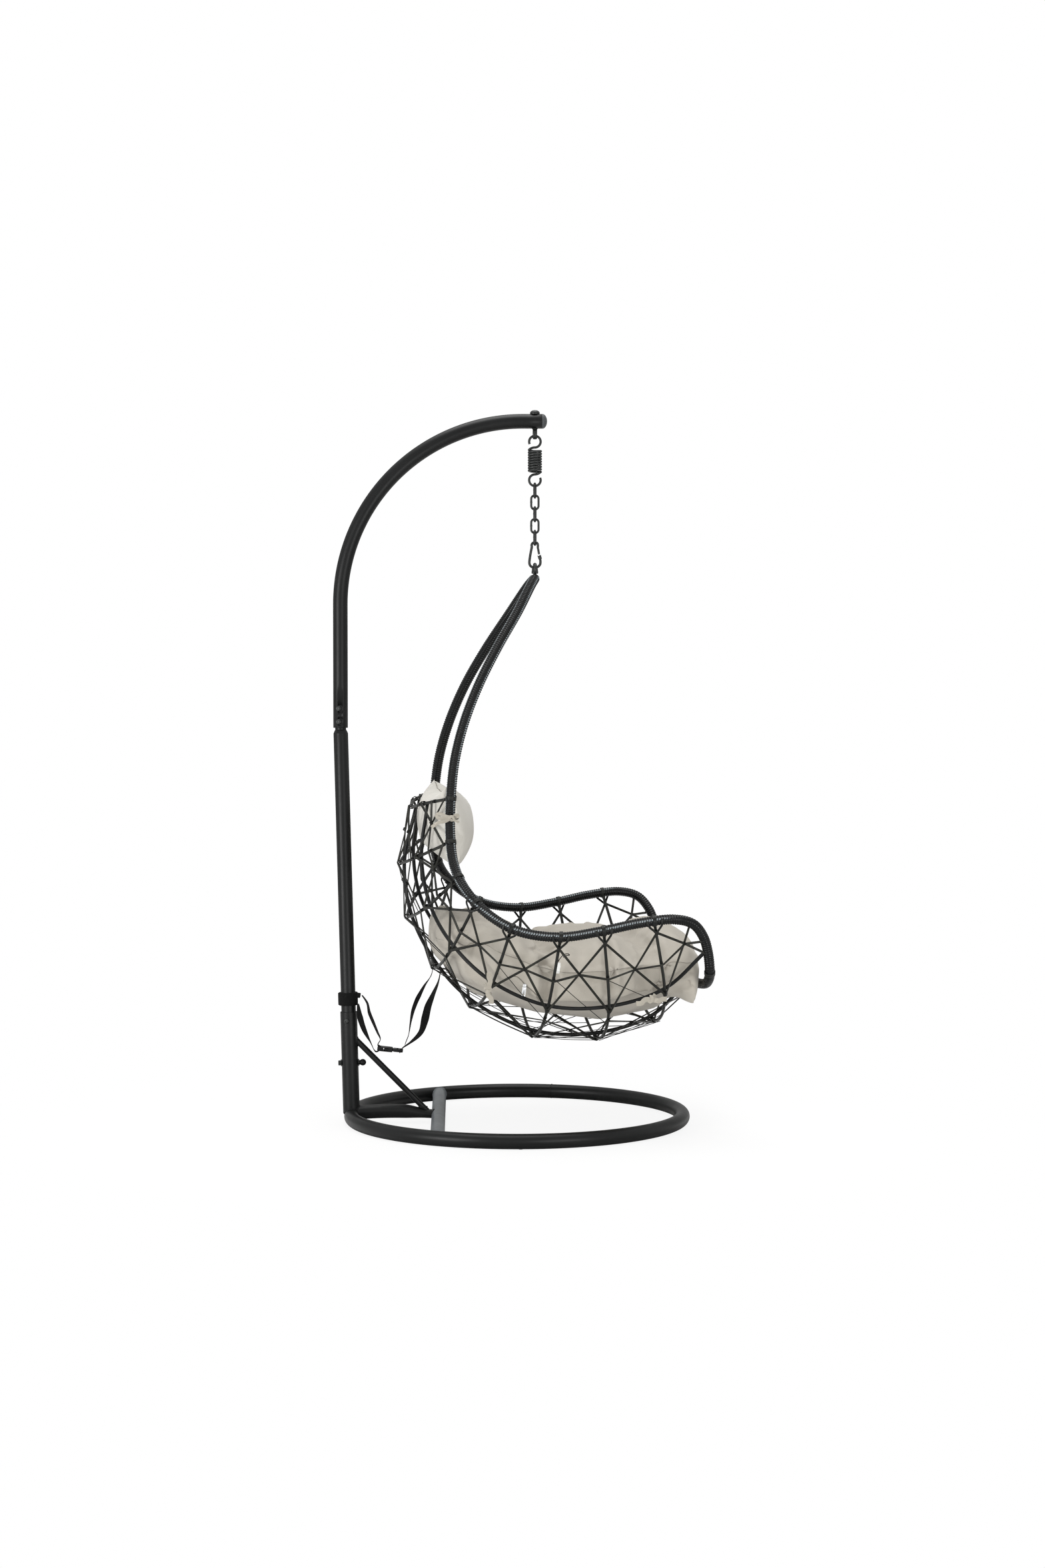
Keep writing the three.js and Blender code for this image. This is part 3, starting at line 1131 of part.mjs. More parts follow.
/** Webbing through given rows; each is x, y, z and the turn of its flat side in degrees. */
function webbing(rows, perRow) {
  const curve = new THREE.CatmullRomCurve3(rows.map(([x, y, z]) => vec(x, y, z)));
  const steps = (rows.length - 1) * perRow;
  const points = Array.from({ length: steps + 1 }, (_, i) => curve.getPoint(i / steps));
  const outline = [[-1, -1], [1, -1], [1, 1], [-1, 1]]
    .map(([s, u]) => [(s * WEBBING_WIDTH) / 2, (u * WEBBING_THICKNESS) / 2]);
  const along = tangents(points, false);
  const upAt = (i) => {
    const place = i / perRow;
    const k = Math.min(Math.floor(place), rows.length - 2);
    const turn = THREE.MathUtils.degToRad(THREE.MathUtils.lerp(rows[k][3], rows[k + 1][3], place - k));
    const flat = new THREE.Vector3().crossVectors(along[i], Y).normalize();
    return flat.applyAxisAngle(along[i], turn);
  };
  return swept(points, outline, upAt);
}

function makePoleStrap() {
  const bend = inBuckle([
    [0, WRAP_REACH + 1], [4.2, WRAP_REACH - 0.6], [6.5, 3], [6.5, -3], [4.2, 0.6 - WRAP_REACH], [-4, -WRAP_REACH - 2],
  ]);
  return webbing([...POLE_STRAP_DOWN, ...bend, ...POLE_STRAP_UP], 2);
}

function makeBasketStrap() {
  const slot = TONGUE_START + TONGUE_LENGTH * TONGUE_SLOT;
  const bend = inBuckle([[slot - 3, 1.5 - WRAP_REACH], [slot, -2], [slot + 0.6, 2.5], [slot + 5, WRAP_REACH + 1]]);
  const rib = hoops[3].curve.getPoints(400).find((p) => p.y < -STRAP_LOOP_SIDE).applyMatrix4(basketFrame);
  const loop = roundRib(rib, RIB_RADIUS / Math.cos(Math.PI / 6) + WEBBING_THICKNESS / 2 + 4);
  return webbing([...bend, ...BASKET_STRAP_UP, ...loop, ...BASKET_STRAP_DOWN], 2);
}

/** The buckle's housing: open in front for the prongs, with side windows and a rear bar. */
function makeBuckleFemale() {
  const shell = block([BUCKLE_LENGTH, BUCKLE_WIDTH, BUCKLE_THICKNESS], [BUCKLE_LENGTH / 2, 0, 0]);
  const inside = [BUCKLE_LENGTH - 12, BUCKLE_WIDTH - 2 * BUCKLE_WALL, BUCKLE_THICKNESS - 2 * BUCKLE_WALL];
  const pocket = block(inside, [BUCKLE_LENGTH - inside[0] / 2 + 1, 0, 0]);
  const window = block([13, BUCKLE_WIDTH + 2, inside[2]], [BUCKLE_LENGTH * 0.55, 0, 0]);
  const slot = block([SLOT_LENGTH, WEBBING_WIDTH + 2, BUCKLE_THICKNESS + 2], [6.5, 0, 0]);
  return moved(shell.subtract(pocket).subtract(window).subtract(slot), buckleFrame);
}

/** The buckle's tongue: a head with webbing slots and three prongs that sit in the housing. */
function makeBuckleMale() {
  const height = BUCKLE_THICKNESS - 2 * BUCKLE_WALL - 2 * GAP;
  const head = block([TONGUE_LENGTH, BUCKLE_WIDTH - 2, TONGUE_THICKNESS], [TONGUE_START + TONGUE_LENGTH / 2, 0, 0]);
  const prongs = [-10, 0, 10].map((side) => block([26, 4.4, height], [TONGUE_START - 12, side, 0]));
  const slots = [TONGUE_SLOT - 0.38, TONGUE_SLOT].map((share) => block(
    [SLOT_LENGTH, WEBBING_WIDTH + 2, BUCKLE_THICKNESS],
    [TONGUE_START + TONGUE_LENGTH * share, 0, 0],
  ));
  return moved(slots.reduce((body, slot) => body.subtract(slot), union([head, ...prongs])), buckleFrame);
}

function buildStrap() {
  const strap = new THREE.Group();
  addPart(strap, 'strap_collar', makeStrapCollar(), WEBBING);
  addPart(strap, 'pole_strap', makePoleStrap(), WEBBING);
  addPart(strap, 'buckle_female', makeBuckleFemale(), PLASTIC);
  addPart(strap, 'buckle_male', makeBuckleMale(), PLASTIC);
  addPart(strap, 'basket_strap', makeBasketStrap(), WEBBING);
  return strap;
}

const chair = new THREE.Group();
chair.add(buildStand(), buildHanger(), buildBasket(), buildStrap());
export default chair;
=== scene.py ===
"""A hanging egg chair: tube stand, spring and chain, woven basket, cushions and a safety strap.

Metres, +Z up. The origin is on the floor under the foot of the pole, +X runs from the pole
towards the chair and +Y is the sitter's left. Tables of sizes are in millimetres, as on a
workshop drawing, and those of the basket are in its own frame, forward from the hang axis.
"""

import logging
import math
from collections.abc import Callable, Iterator, Sequence
from contextlib import contextmanager
from dataclasses import dataclass, field
from enum import Enum

import bpy
import numpy as np
from mathutils import Matrix, Vector
from mathutils.bvhtree import BVHTree

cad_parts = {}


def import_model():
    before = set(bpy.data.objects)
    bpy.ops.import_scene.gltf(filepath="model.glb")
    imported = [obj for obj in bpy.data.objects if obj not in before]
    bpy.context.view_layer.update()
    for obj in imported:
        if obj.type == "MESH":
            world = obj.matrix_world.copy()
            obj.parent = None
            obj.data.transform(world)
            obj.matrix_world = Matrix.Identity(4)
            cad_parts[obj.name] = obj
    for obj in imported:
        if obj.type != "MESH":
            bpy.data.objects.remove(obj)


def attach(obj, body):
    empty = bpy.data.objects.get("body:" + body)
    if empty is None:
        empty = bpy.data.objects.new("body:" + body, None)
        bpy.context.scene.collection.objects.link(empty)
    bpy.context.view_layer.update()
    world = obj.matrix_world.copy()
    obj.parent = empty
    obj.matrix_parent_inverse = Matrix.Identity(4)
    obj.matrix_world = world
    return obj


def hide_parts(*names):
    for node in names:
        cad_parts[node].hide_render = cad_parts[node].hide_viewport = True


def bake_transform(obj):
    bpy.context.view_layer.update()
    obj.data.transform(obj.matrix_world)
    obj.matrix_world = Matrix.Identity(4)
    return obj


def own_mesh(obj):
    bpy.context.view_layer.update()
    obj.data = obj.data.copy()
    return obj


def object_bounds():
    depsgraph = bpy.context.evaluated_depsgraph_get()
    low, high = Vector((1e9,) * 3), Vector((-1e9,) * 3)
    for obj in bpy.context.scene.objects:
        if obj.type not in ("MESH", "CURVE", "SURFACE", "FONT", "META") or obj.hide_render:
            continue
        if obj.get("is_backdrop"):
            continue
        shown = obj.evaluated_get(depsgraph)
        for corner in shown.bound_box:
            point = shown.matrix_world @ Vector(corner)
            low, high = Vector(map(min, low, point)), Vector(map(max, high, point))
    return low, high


MM = 0.001
TAU = 2 * math.pi
X, Y, Z = np.eye(3)
Piece = bpy.types.Object
Socket = bpy.types.NodeSocket
Rows = np.ndarray  # points or directions, one of them or a row of them
Place = Sequence[float]
Pair = tuple[float, float]
Pairs = Sequence[Pair]
Tones = tuple[str, ...]
log = logging.getLogger("egg_chair")


class Body(Enum):
    """The bodies of the frame that a piece can ride on."""

    STAND = "stand"
    CARABINER = "carabiner"
    GATE = "gate"
    BASKET = "basket"


class Slot(Enum):
    """The material slots of the record."""

    COATED = "coated_steel"
    ZINC = "dark_zinc"
    PLASTIC = "black_plastic"
    WRAP = "wicker_wrap"
    STRAND = "wicker_strand"
    CLOTH = "cushion_fabric"
    WEBBING = "webbing"


class Side(Enum):
    """The two sides of the basket, by the sign of y."""

    LEFT = 1
    RIGHT = -1


# ------------------------------------------------------------------ finishes
def linear(code: str) -> tuple[float, float, float, float]:
    """Turns a screen colour into the numbers a shader takes.

    Args:
        code: six hexadecimal digits.

    Returns:
        Linear red, green and blue, and 1.
    """
    shades = [int(code[i : i + 2], 16) / 255 for i in (0, 2, 4)]
    plain = [s / 12.92 if s <= 0.04045 else ((s + 0.055) / 1.055) ** 2.4 for s in shades]
    return (*plain, 1.0)


def wired(
        tree: bpy.types.NodeTree, kind: str, settings: dict[str, object] | None = None,
        **inputs: object) -> bpy.types.Node:
    """Adds a node to a tree.

    Args:
        tree: a material's or a world's.
        kind: the node's type without its prefix ShaderNode.
        settings: the node's own properties.
        inputs: values or sockets for its inputs; n0, n1 and so on name them by number.

    Returns:
        The new node.
    """
    made = tree.nodes.new("ShaderNode" + kind)
    for key, value in (settings or {}).items():
        setattr(made, key, value)
    for key, value in inputs.items():
        numbered = key[0] == "n" and key[1:].isdigit()
        socket = made.inputs[int(key[1:]) if numbered else key.replace("_", " ")]
        if isinstance(value, Socket):
            tree.links.new(value, socket)
        else:
            socket.default_value = value
    return made


class Recipe:
    """One material's node tree, with short calls for the nodes that the finishes use."""

    def __init__(self, name: str, **surface: object) -> None:
        """Starts a material.

        Args:
            name: the material's name.
            surface: values for the surface shader's own sockets, spaces written as _.
        """
        self.material = bpy.data.materials.new(name)
        self.material.use_nodes = True
        self.tree = self.material.node_tree
        self.surface = self.tree.nodes["Principled BSDF"]
        for key, value in surface.items():
            self.surface.inputs[key.replace("_", " ")].default_value = value

    def node(self, kind: str, settings: dict[str, object] | None = None, **inputs: object) -> bpy.types.Node:
        """Adds a node to the material, as wired does."""
        return wired(self.tree, kind, settings, **inputs)

    def place(self, scale: Place = (1, 1, 1), kind: str = "Object") -> Socket:
        """Gives the place on the surface, stretched by a scale; kind is Object or UV."""
        where = self.node("TexCoord").outputs[kind]
        return self.node("Mapping", None, Vector=where, Scale=tuple(scale)).outputs[0]

    def parts(self, place: Socket) -> bpy.types.bpy_prop_collection:
        """Gives the three coordinates of a place, each as a socket."""
        return self.node("SeparateXYZ", None, Vector=place).outputs

    def noise(self, vector: Socket, scale: float, detail: float = 2) -> Socket:
        """Gives a soft noise from 0 to 1."""
        return self.node("TexNoise", None, Vector=vector, Scale=scale, Detail=detail).outputs["Fac"]

    def sum(self, kind: str, a: object, b: object = 0.0) -> Socket:
        """Gives one arithmetic step, such as FLOOR or SINE."""
        return self.node("Math", {"operation": kind}, n0=a, n1=b).outputs[0]

    def times(self, a: object, b: object) -> Socket:
        """Gives a product."""
        return self.sum("MULTIPLY", a, b)

    def plus(self, a: object, b: object) -> Socket:
        """Gives a sum of two."""
        return self.sum("ADD", a, b)

    def blend(self, a: Socket, b: Socket, share: float) -> Socket:
        """Gives a mixture of two values, of which the first has a share."""
        return self.plus(self.times(a, share), self.times(b, 1 - share))

    def ribs(self, run: Socket) -> Socket:
        """Gives round ribs over a running value, from 0 to 1."""
        return self.sum("MULTIPLY_ADD", self.sum("SINE", run), 0.5)

    def shade(self, factor: Socket, codes: Sequence[str]) -> None:
        """Colours the surface by a factor, with screen colours spread evenly from 0.3 to 0.7."""
        ramp = self.node("ValToRGB", None, Fac=factor)
        stops = ramp.color_ramp.elements
        while len(stops) < len(codes):
            stops.new(0.5)
        for i, code in enumerate(codes):
            stops[i].position = 0.3 + 0.4 * i / (len(codes) - 1)
            stops[i].color = linear(code)
        self.tree.links.new(ramp.outputs[0], self.surface.inputs["Base Color"])

    def gloss(self, factor: Socket, low: float, high: float) -> None:
        """Varies the roughness by a factor."""
        spread = self.node("MapRange", None, Value=factor, To_Min=low, To_Max=high)
        self.tree.links.new(spread.outputs[0], self.surface.inputs["Roughness"])

    def relief(self, heights: Sequence[tuple[Socket, float]]) -> None:
        """Adds bumps, each a height from 0 to 1 and its depth in metres."""
        normal: Socket | None = None
        for height, depth in heights:
            bump = self.node("Bump", None, Height=height, Strength=1.0, Distance=depth)
            if normal is not None:
                self.tree.links.new(normal, bump.inputs["Normal"])
            normal = bump.outputs[0]
        self.tree.links.new(normal, self.surface.inputs["Normal"])


@dataclass(frozen=True)
class Coat:
    """A plain surface: a clouded tone, an uneven gloss and a fine grain."""

    name: str
    tones: Tones
    roughness: Pair
    slot: Slot
    cloud: Pair  # how fine the tone's noise is, per metre, and how detailed
    haze: Pair  # the same for the gloss
    grains: tuple[tuple[float, float, float], ...]  # the same for each relief, and its depth in metres
    grain_along: float = 1.0  # how fine the grain is along Z, as a share
    metallic: float = 0.0
    shine: float = 0.5

    def material(self) -> bpy.types.Material:
        """Makes the material."""
        mix = Recipe(self.name, Metallic=self.metallic, Specular_IOR_Level=self.shine)
        mix.shade(mix.noise(mix.place(), *self.cloud), self.tones)
        mix.gloss(mix.noise(mix.place(), *self.haze), *self.roughness)
        place = mix.place((1, 1, self.grain_along))
        mix.relief([(mix.noise(place, fine, detail), depth) for fine, detail, depth in self.grains])
        return mix.material


@dataclass(frozen=True)
class PowderCoat(Coat):
    """Satin paint baked on steel: a fine orange peel over a slightly uneven tone."""

    name: str = "powder_coat"
    tones: Tones = ("0a0b0b", "0d0e0e", "111212")
    roughness: Pair = (0.34, 0.44)
    slot: Slot = Slot.COATED
    cloud: Pair = (9, 4)
    haze: Pair = (60, 3)
    grains: tuple[tuple[float, float, float], ...] = ((620, 2, 0.00003), (45, 2, 0.0001))
    shine: float = 0.19


@dataclass(frozen=True)
class ZincPlate(Coat):
    """Dark plating on wire and bolts, rubbed a little and drawn along its length."""

    name: str = "dark_zinc_plate"
    tones: Tones = ("161817", "1e201f", "292b2a")
    roughness: Pair = (0.36, 0.43)
    slot: Slot = Slot.ZINC
    cloud: Pair = (95, 4)
    haze: Pair = (240, 3)
    grains: tuple[tuple[float, float, float], ...] = ((900, 2, 0.00001),)
    grain_along: float = 0.15
    metallic: float = 0.4


@dataclass(frozen=True)
class MouldedPlastic(Coat):
    """Black moulded plastic with a fine spark grain."""

    name: str = "moulded_plastic"
    tones: Tones = ("08080a", "0c0c0d", "121213")
    roughness: Pair = (0.38, 0.52)
    slot: Slot = Slot.PLASTIC
    cloud: Pair = (40, 3)
    haze: Pair = (150, 2)
    grains: tuple[tuple[float, float, float], ...] = ((1800, 1, 0.00006),)
    shine: float = 0.15


@dataclass(frozen=True)
class Cane:
    """Flat plastic cane. Its fine ribs run across u or along it, and each turn has its own tone."""

    name: str
    tones: Tones
    turns_per_metre: float  # along v
    ribs: float  # fine ribs in one unit of u, or in one turn where the cane is wound
    slot: Slot = Slot.STRAND
    wound: bool = False
    roughness: Pair = (0.33, 0.47)

    def material(self) -> bpy.types.Material:
        """Makes the material. On a wound mesh, crown says how near a point is to its strand's top; the
        colour is painted lighter there as a painted highlight, and darker in the grooves as painted shade.
        """
        mix = Recipe(self.name, Specular_IOR_Level=0.2)
        across, along, _ = mix.parts(mix.place(kind="UV"))
        turn = mix.times(along, self.turns_per_metre)
        if self.wound:
            turn = mix.plus(turn, across)
        tint = mix.node("TexWhiteNoise", {"noise_dimensions": "1D"}, W=mix.sum("FLOOR", turn)).outputs[0]
        tone = mix.blend(tint, mix.noise(mix.place(), 30, 4), 0.4)
        # painted highlight on the cane's crowns and painted shade in its grooves, from the crown attribute
        if self.wound:
            crown = mix.node("Attribute", {"attribute_name": "crown"}).outputs["Fac"]
            tone = mix.blend(tone, mix.sum("POWER", crown, 1.25), 0.24)
        mix.shade(tone, self.tones)
        mix.gloss(tint, *self.roughness)
        ribs = mix.ribs(mix.times(turn if self.wound else across, TAU * self.ribs))
        mix.relief([(ribs, 0.00012), (mix.noise(mix.place(), 500, 2), 0.00008)])
        return mix.material


@dataclass(frozen=True)
class CushionCloth:
    """Woven polyester: crossing threads, a soft heather and slow creases."""

    name: str = "cushion_cloth"
    tones: Tones = ("aba59a", "b5afa4", "bfb9ae")
    thread: float = 0.0011  # from one thread to the next, metres
    slot: Slot = Slot.CLOTH

    def material(self) -> bpy.types.Material:
        """Makes the material."""
        mix = Recipe(
            self.name, Roughness=0.9, Specular_IOR_Level=0.25, Sheen_Weight=0.18, Sheen_Roughness=0.5)
        x, y, z = (mix.sum("SINE", mix.times(part, TAU / self.thread)) for part in mix.parts(mix.place()))
        weave = mix.plus(mix.times(x, y), mix.times(y, z))
        heather = mix.noise(mix.place((1, 1, 2.5)), 420, 3)
        mix.shade(mix.blend(heather, mix.noise(mix.place(), 7, 4), 0.45), self.tones)
        creases = mix.noise(mix.place((1, 1, 0.45)), 16, 5)
        mix.relief([(creases, 0.004), (heather, 0.0002), (weave, 0.00012)])
        return mix.material


@dataclass(frozen=True)
class WebbingWeave:
    """Black polyester webbing with slanted ribs and a plain selvedge."""

    name: str = "webbing_weave"
    tones: Tones = ("060606", "0a0a0a", "0e0e0e")
    slot: Slot = Slot.WEBBING

    def material(self) -> bpy.types.Material:
        """Makes the material."""
        mix = Recipe(self.name, Roughness=0.8, Specular_IOR_Level=0.1, Sheen_Weight=0.02)
        across, along, _ = mix.parts(mix.place(kind="UV"))
        fold = mix.sum("PINGPONG", mix.times(across, 12), 1)
        ribs = mix.ribs(mix.times(mix.plus(mix.times(along, 700), fold), TAU))
        mix.shade(mix.noise(mix.place(), 300, 3), self.tones)
        mix.relief([(ribs, 0.00007), (mix.noise(mix.place(), 900, 2), 0.00003)])
        return mix.material


class Finish(Enum):
    """Every finish on the chair, each made once."""

    COATED = PowderCoat()
    # the cross bar is the same powder coat as the stand, its tones painted lighter: painted light from above
    # on its top
    BAR = PowderCoat("bar_coat_painted_light", ("5a5e61", "626669", "6a6e71"))
    PLUG = PowderCoat("plug_coat", ("3c3e40", "434547", "4a4c4e"), (0.42, 0.5), Slot.PLASTIC)
    HOOP = PowderCoat("hoop_coat", ("151614", "1b1c1a", "262723"))
    ROD = PowderCoat("rod_coat", ("0b0c0c", "101111", "161616"), (0.36, 0.46))
    ZINC = ZincPlate()
    BRIGHT = ZincPlate("bright_zinc_plate", ("c9cacc", "d6d7d8", "e2e3e4"), (0.3, 0.42), metallic=0.6)
    PLASTIC = MouldedPlastic()
    # the palest wrap tone is a painted highlight on the cane's crowns and the darkest a painted shade in its
    # grooves
    WRAP = Cane(
        "cane_wrap", ("020303", "070809", "14171a", "7b8285"), 156.25, 3, Slot.WRAP, True, (0.2, 0.34))
    STRAND = Cane("cane_strand", ("141511", "1b1b17", "2a2a25"), 18, 7)
    KNOT = Cane("cane_knot", ("0c0d0c", "121311", "1c1d1a"), 40, 3)
    CLOTH = CushionCloth()
    # the pillow is the same cloth as the seat cushion, its tones painted lighter as painted light falling on
    # it
    PILLOW = CushionCloth("pillow_cloth_painted_light", ("c6c2b9", "cfccc4", "d8d5cd"))
    TIE = CushionCloth("tie_cloth", ("9f998d", "aba599", "b6b0a4"), 0.0008)
    WEBBING = WebbingWeave()
    LABEL = Coat(
        "label_cloth", ("dcdcd9", "e6e6e3", "eeeeec"), (0.8, 0.8), Slot.CLOTH, (500, 3), (500, 3),
        ((2000, 2, 0.00008),))
    SEAM = Coat(
        "seam_thread", ("77726a", "837e75", "8f8a81"), (0.85, 0.85), Slot.CLOTH, (700, 3), (700, 3),
        ((2800, 2, 0.00008),))

    def made(self) -> bpy.types.Material:
        """Gives the finish's material, made on its first use."""
        return bpy.data.materials.get(self.value.name) or self.value.material()


# ------------------------------------------------------------------ the bench
def only(piece: Piece) -> Piece:
    """Selects one object and nothing else."""
    bpy.ops.object.select_all(action="DESELECT")
    piece.select_set(True)
    bpy.context.view_layer.objects.active = piece
    return piece


@contextmanager
def editing(piece: Piece) -> Iterator[None]:
    """Opens a mesh in edit mode with all of it selected, and closes it afterwards."""
    only(piece)
    bpy.ops.object.mode_set(mode="EDIT")
    bpy.ops.mesh.select_all(action="SELECT")
    try:
        yield
    finally:
        bpy.ops.object.mode_set(mode="OBJECT")


def settled(piece: Piece, name: str) -> Piece:
    """Names an object and puts its place, turn and size into its mesh."""
    only(piece)
    bpy.ops.object.transform_apply(location=True, rotation=True, scale=True)
    piece.name = name
    return piece


def smoothed(piece: Piece, degrees: float = 40) -> Piece:
    """Shades a mesh smooth, apart from edges sharper than an angle."""
    only(piece)
    bpy.ops.object.shade_smooth_by_angle(angle=math.radians(degrees))
    return piece


def modified(piece: Piece, kind: str, **settings: object) -> Piece:
    """Adds a modifier with its settings and applies it."""
    only(piece)
    made = piece.modifiers.new(kind.lower(), kind)
    for key, value in settings.items():
        setattr(made, key, value)
    bpy.ops.object.modifier_apply(modifier=made.name)
    return piece


def cut(piece: Piece, *tools: Piece) -> Piece:
    """Cuts tools out of a piece and throws the tools away."""
    for tool in tools:
        modified(piece, "BOOLEAN", object=tool, operation="DIFFERENCE", solver="EXACT")
        bpy.data.objects.remove(tool)
    return piece


def joined(pieces: Sequence[Piece], name: str) -> Piece:
    """Joins meshes into the first of them."""
    bpy.ops.object.select_all(action="DESELECT")
    for piece in pieces:
        piece.select_set(True)
    bpy.context.view_layer.objects.active = pieces[0]
    if len(pieces) > 1:
        bpy.ops.object.join()
    pieces[0].name = name
    return pieces[0]


def added(name: str, data: bpy.types.ID) -> Piece:
    """Puts a mesh, lamp or camera into the scene."""
    made = bpy.data.objects.new(name, data)
    bpy.context.scene.collection.objects.link(made)
    return made


def primitive(kind: str, name: str, stretch: Place = (1, 1, 1), **settings: object) -> Piece:
    """Adds a plain solid such as a cube, stretched to its size, with a name."""
    bpy.ops.object.select_all(action="DESELECT")
    getattr(bpy.ops.mesh, f"primitive_{kind}_add")(**settings)
    piece = bpy.context.object
    piece.scale = stretch
    return settled(piece, name)


def copied(piece: Piece, place: Matrix) -> Piece:
    """Copies an object with a mesh of its own, which is moved."""
    twin = piece.copy()
    twin.data = piece.data.copy()
    bpy.context.scene.collection.objects.link(twin)
    twin.data.transform(place)
    return twin


def unit(rows: Rows) -> Rows:
    """Vectors brought to length 1."""
    return rows / np.maximum(np.linalg.norm(rows, axis=-1, keepdims=True), 1e-12)


def lengths(path: Rows) -> Rows:
    """The distance along a path at each of its points."""
    steps = np.linalg.norm(np.diff(path, axis=0), axis=1)
    return np.concatenate([[0.0], np.cumsum(steps)])


def headings(path: Rows, closed: bool) -> Rows:
    """The direction of a path at each of its points."""
    after, before = np.roll(path, -1, 0), np.roll(path, 1, 0)
    if not closed:
        after[-1], before[0] = path[-1], path[0]
    return unit(after - before)


def ticks(count: int) -> Rows:
    """Equal angles all round, in radians."""
    return np.linspace(0, TAU, count + 1)[:-1]


def swept(
        name: str, path: Rows, up: Rows, outline: Rows, closed: bool = False,
        crown: Rows | None = None) -> Piece:
    """Sweeps an outline along a path, with a UV map of turns across and metres along.

    Args:
        name: the object's name.
        path: points in metres.
        up: the direction of the outline's second axis, one for all or one for each point.
        outline: pairs of side and up in metres, counter-clockwise, one outline or one for each point.
        closed: whether the path ends where it starts.
        crown: how near each point lies to its strand's top, from 0 to 1, kept as an attribute that the
            cane's colour uses for painted highlights and painted shade.

    Returns:
        A closed mesh with its faces outward.
    """
    path = np.asarray(path, float)
    count = len(path)
    along = headings(path, closed)
    side = unit(np.cross(along, np.broadcast_to(up, path.shape)))
    lift = np.cross(side, along)
    outline = np.asarray(outline, float)
    outline = np.broadcast_to(outline, (count, *outline.shape[-2:]))
    rings = path[:, None] + side[:, None] * outline[..., :1] + lift[:, None] * outline[..., 1:]
    around = rings.shape[1]
    spans = count if closed else count - 1
    i, j = np.meshgrid(np.arange(spans), np.arange(around), indexing="ij")
    following, beside = (i + 1) % count, (j + 1) % around
    here, there = i * around, following * around
    faces = np.stack([here + j, there + j, there + beside, here + beside], -1).reshape(-1, 4).tolist()
    run = lengths(np.vstack([path, path[:1]]) if closed else path)
    u0, u1 = j / around, (j + 1) / around
    v0, v1 = run[i], run[i + 1]
    places = np.stack([u0, v0, u0, v1, u1, v1, u1, v0], -1).ravel()
    if not closed:
        faces += [list(range(around)), list(range((count - 1) * around, count * around))[::-1]]
        places = np.concatenate([places, np.zeros(4 * around)])
    mesh = bpy.data.meshes.new(name)
    mesh.from_pydata(rings.reshape(-1, 3).tolist(), [], faces)
    mesh.uv_layers.new(name="Run").data.foreach_set("uv", places)
    if crown is not None:
        kept = mesh.attributes.new("crown", "FLOAT", "POINT")
        kept.data.foreach_set("value", crown.astype(np.float32).ravel())
    return added(name, mesh)


def oval(half_side: float, half_up: float, sides: int, power: float = 2) -> Rows:
    """An oval outline in metres; a power over 2 squares it towards a flat band."""
    turn = TAU * (np.arange(sides) + 0.5) / sides
    rows = np.stack([np.cos(turn), np.sin(turn)], 1)
    return np.sign(rows) * np.abs(rows) ** (2 / power) * (half_side, half_up)


ANY_WAY = (0.31, 0.87, 0.38)  # a direction that no path starts along


def square_up(path: Rows, closed: bool = False) -> Rows:
    """Directions square to a path that turn as little as possible along it."""
    along = headings(path, closed)
    rows = [unit(np.cross(along[0], ANY_WAY))]
    for way in along[1:]:
        rows.append(unit(rows[-1] - way * (rows[-1] @ way)))
    return np.array(rows)


def wire(name: str, path: Rows, radius: float, sides: int = 16, closed: bool = False) -> Piece:
    """A round wire, tube or rod through points, with its surface shaded smooth."""
    return smoothed(swept(name, path, square_up(path, closed), oval(radius, radius, sides), closed), 50)


def lathe(name: str, rows: Pairs, place: Matrix, steps: int = 48) -> Piece:
    """Spins a profile about Z and puts the solid in place.

    Args:
        name: the object's name.
        rows: pairs of radius and height in millimetres, from one end to the other.
        place: where the spun solid's own frame goes.
        steps: how many faces go round.

    Returns:
        A closed mesh; rows that end off the axis are closed by a flat face.
    """
    profile = list(rows)
    if profile[0][0] > 0:
        profile.insert(0, (0.0, profile[0][1]))
    if profile[-1][0] > 0:
        profile.append((0.0, profile[-1][1]))
    mesh = bpy.data.meshes.new(name)
    edges = [(i, i + 1) for i in range(len(profile) - 1)]
    mesh.from_pydata([(r * MM, 0, z * MM) for r, z in profile], edges, [])
    piece = added(name, mesh)
    with editing(piece):
        bpy.ops.mesh.spin(steps=steps, angle=TAU, center=(0, 0, 0), axis=(0, 0, 1))
        bpy.ops.mesh.select_all(action="SELECT")
        bpy.ops.mesh.remove_doubles(threshold=1e-6)
        bpy.ops.mesh.normals_make_consistent(inside=False)
    piece.data.transform(place)
    return smoothed(piece, 32)


def slab(name: str, size: Place, place: Matrix, bevel: float = 0.0, segments: int = 3) -> Piece:
    """A block with rounded edges, by its size in millimetres and its place."""
    piece = primitive("cube", name, [s * MM for s in size], size=1)
    if bevel:
        modified(piece, "BEVEL", width=bevel * MM, segments=segments, limit_method="NONE")
    piece.data.transform(place)
    return smoothed(piece, 35)


def frame_at(place: Place) -> Matrix:
    """The upright frame at a place in metres."""
    return Matrix.Translation(Vector(place))


def turn_to(direction: Place, place: Place = (0, 0, 0)) -> Matrix:
    """The frame whose Z points along a direction, at a place in metres."""
    return frame_at(place) @ Vector(direction).to_track_quat("Z", "Y").to_matrix().to_4x4()


def dome(radius: float, base: float, rise: float, end: float, count: int, power: float = 1) -> list[Pair]:
    """Rows of a round end for lathe: from its edge to an angle in degrees, in a number of points."""
    angles = np.radians(np.linspace(0, end, count))
    return [(radius * math.cos(a) ** power, base + rise * math.sin(a)) for a in angles]


def grounded(piece: Piece) -> Piece:
    """Files a piece's weld beads flush where it stands on the floor."""
    for vertex in piece.data.vertices:
        vertex.co.z = max(vertex.co.z, 0)
    return piece


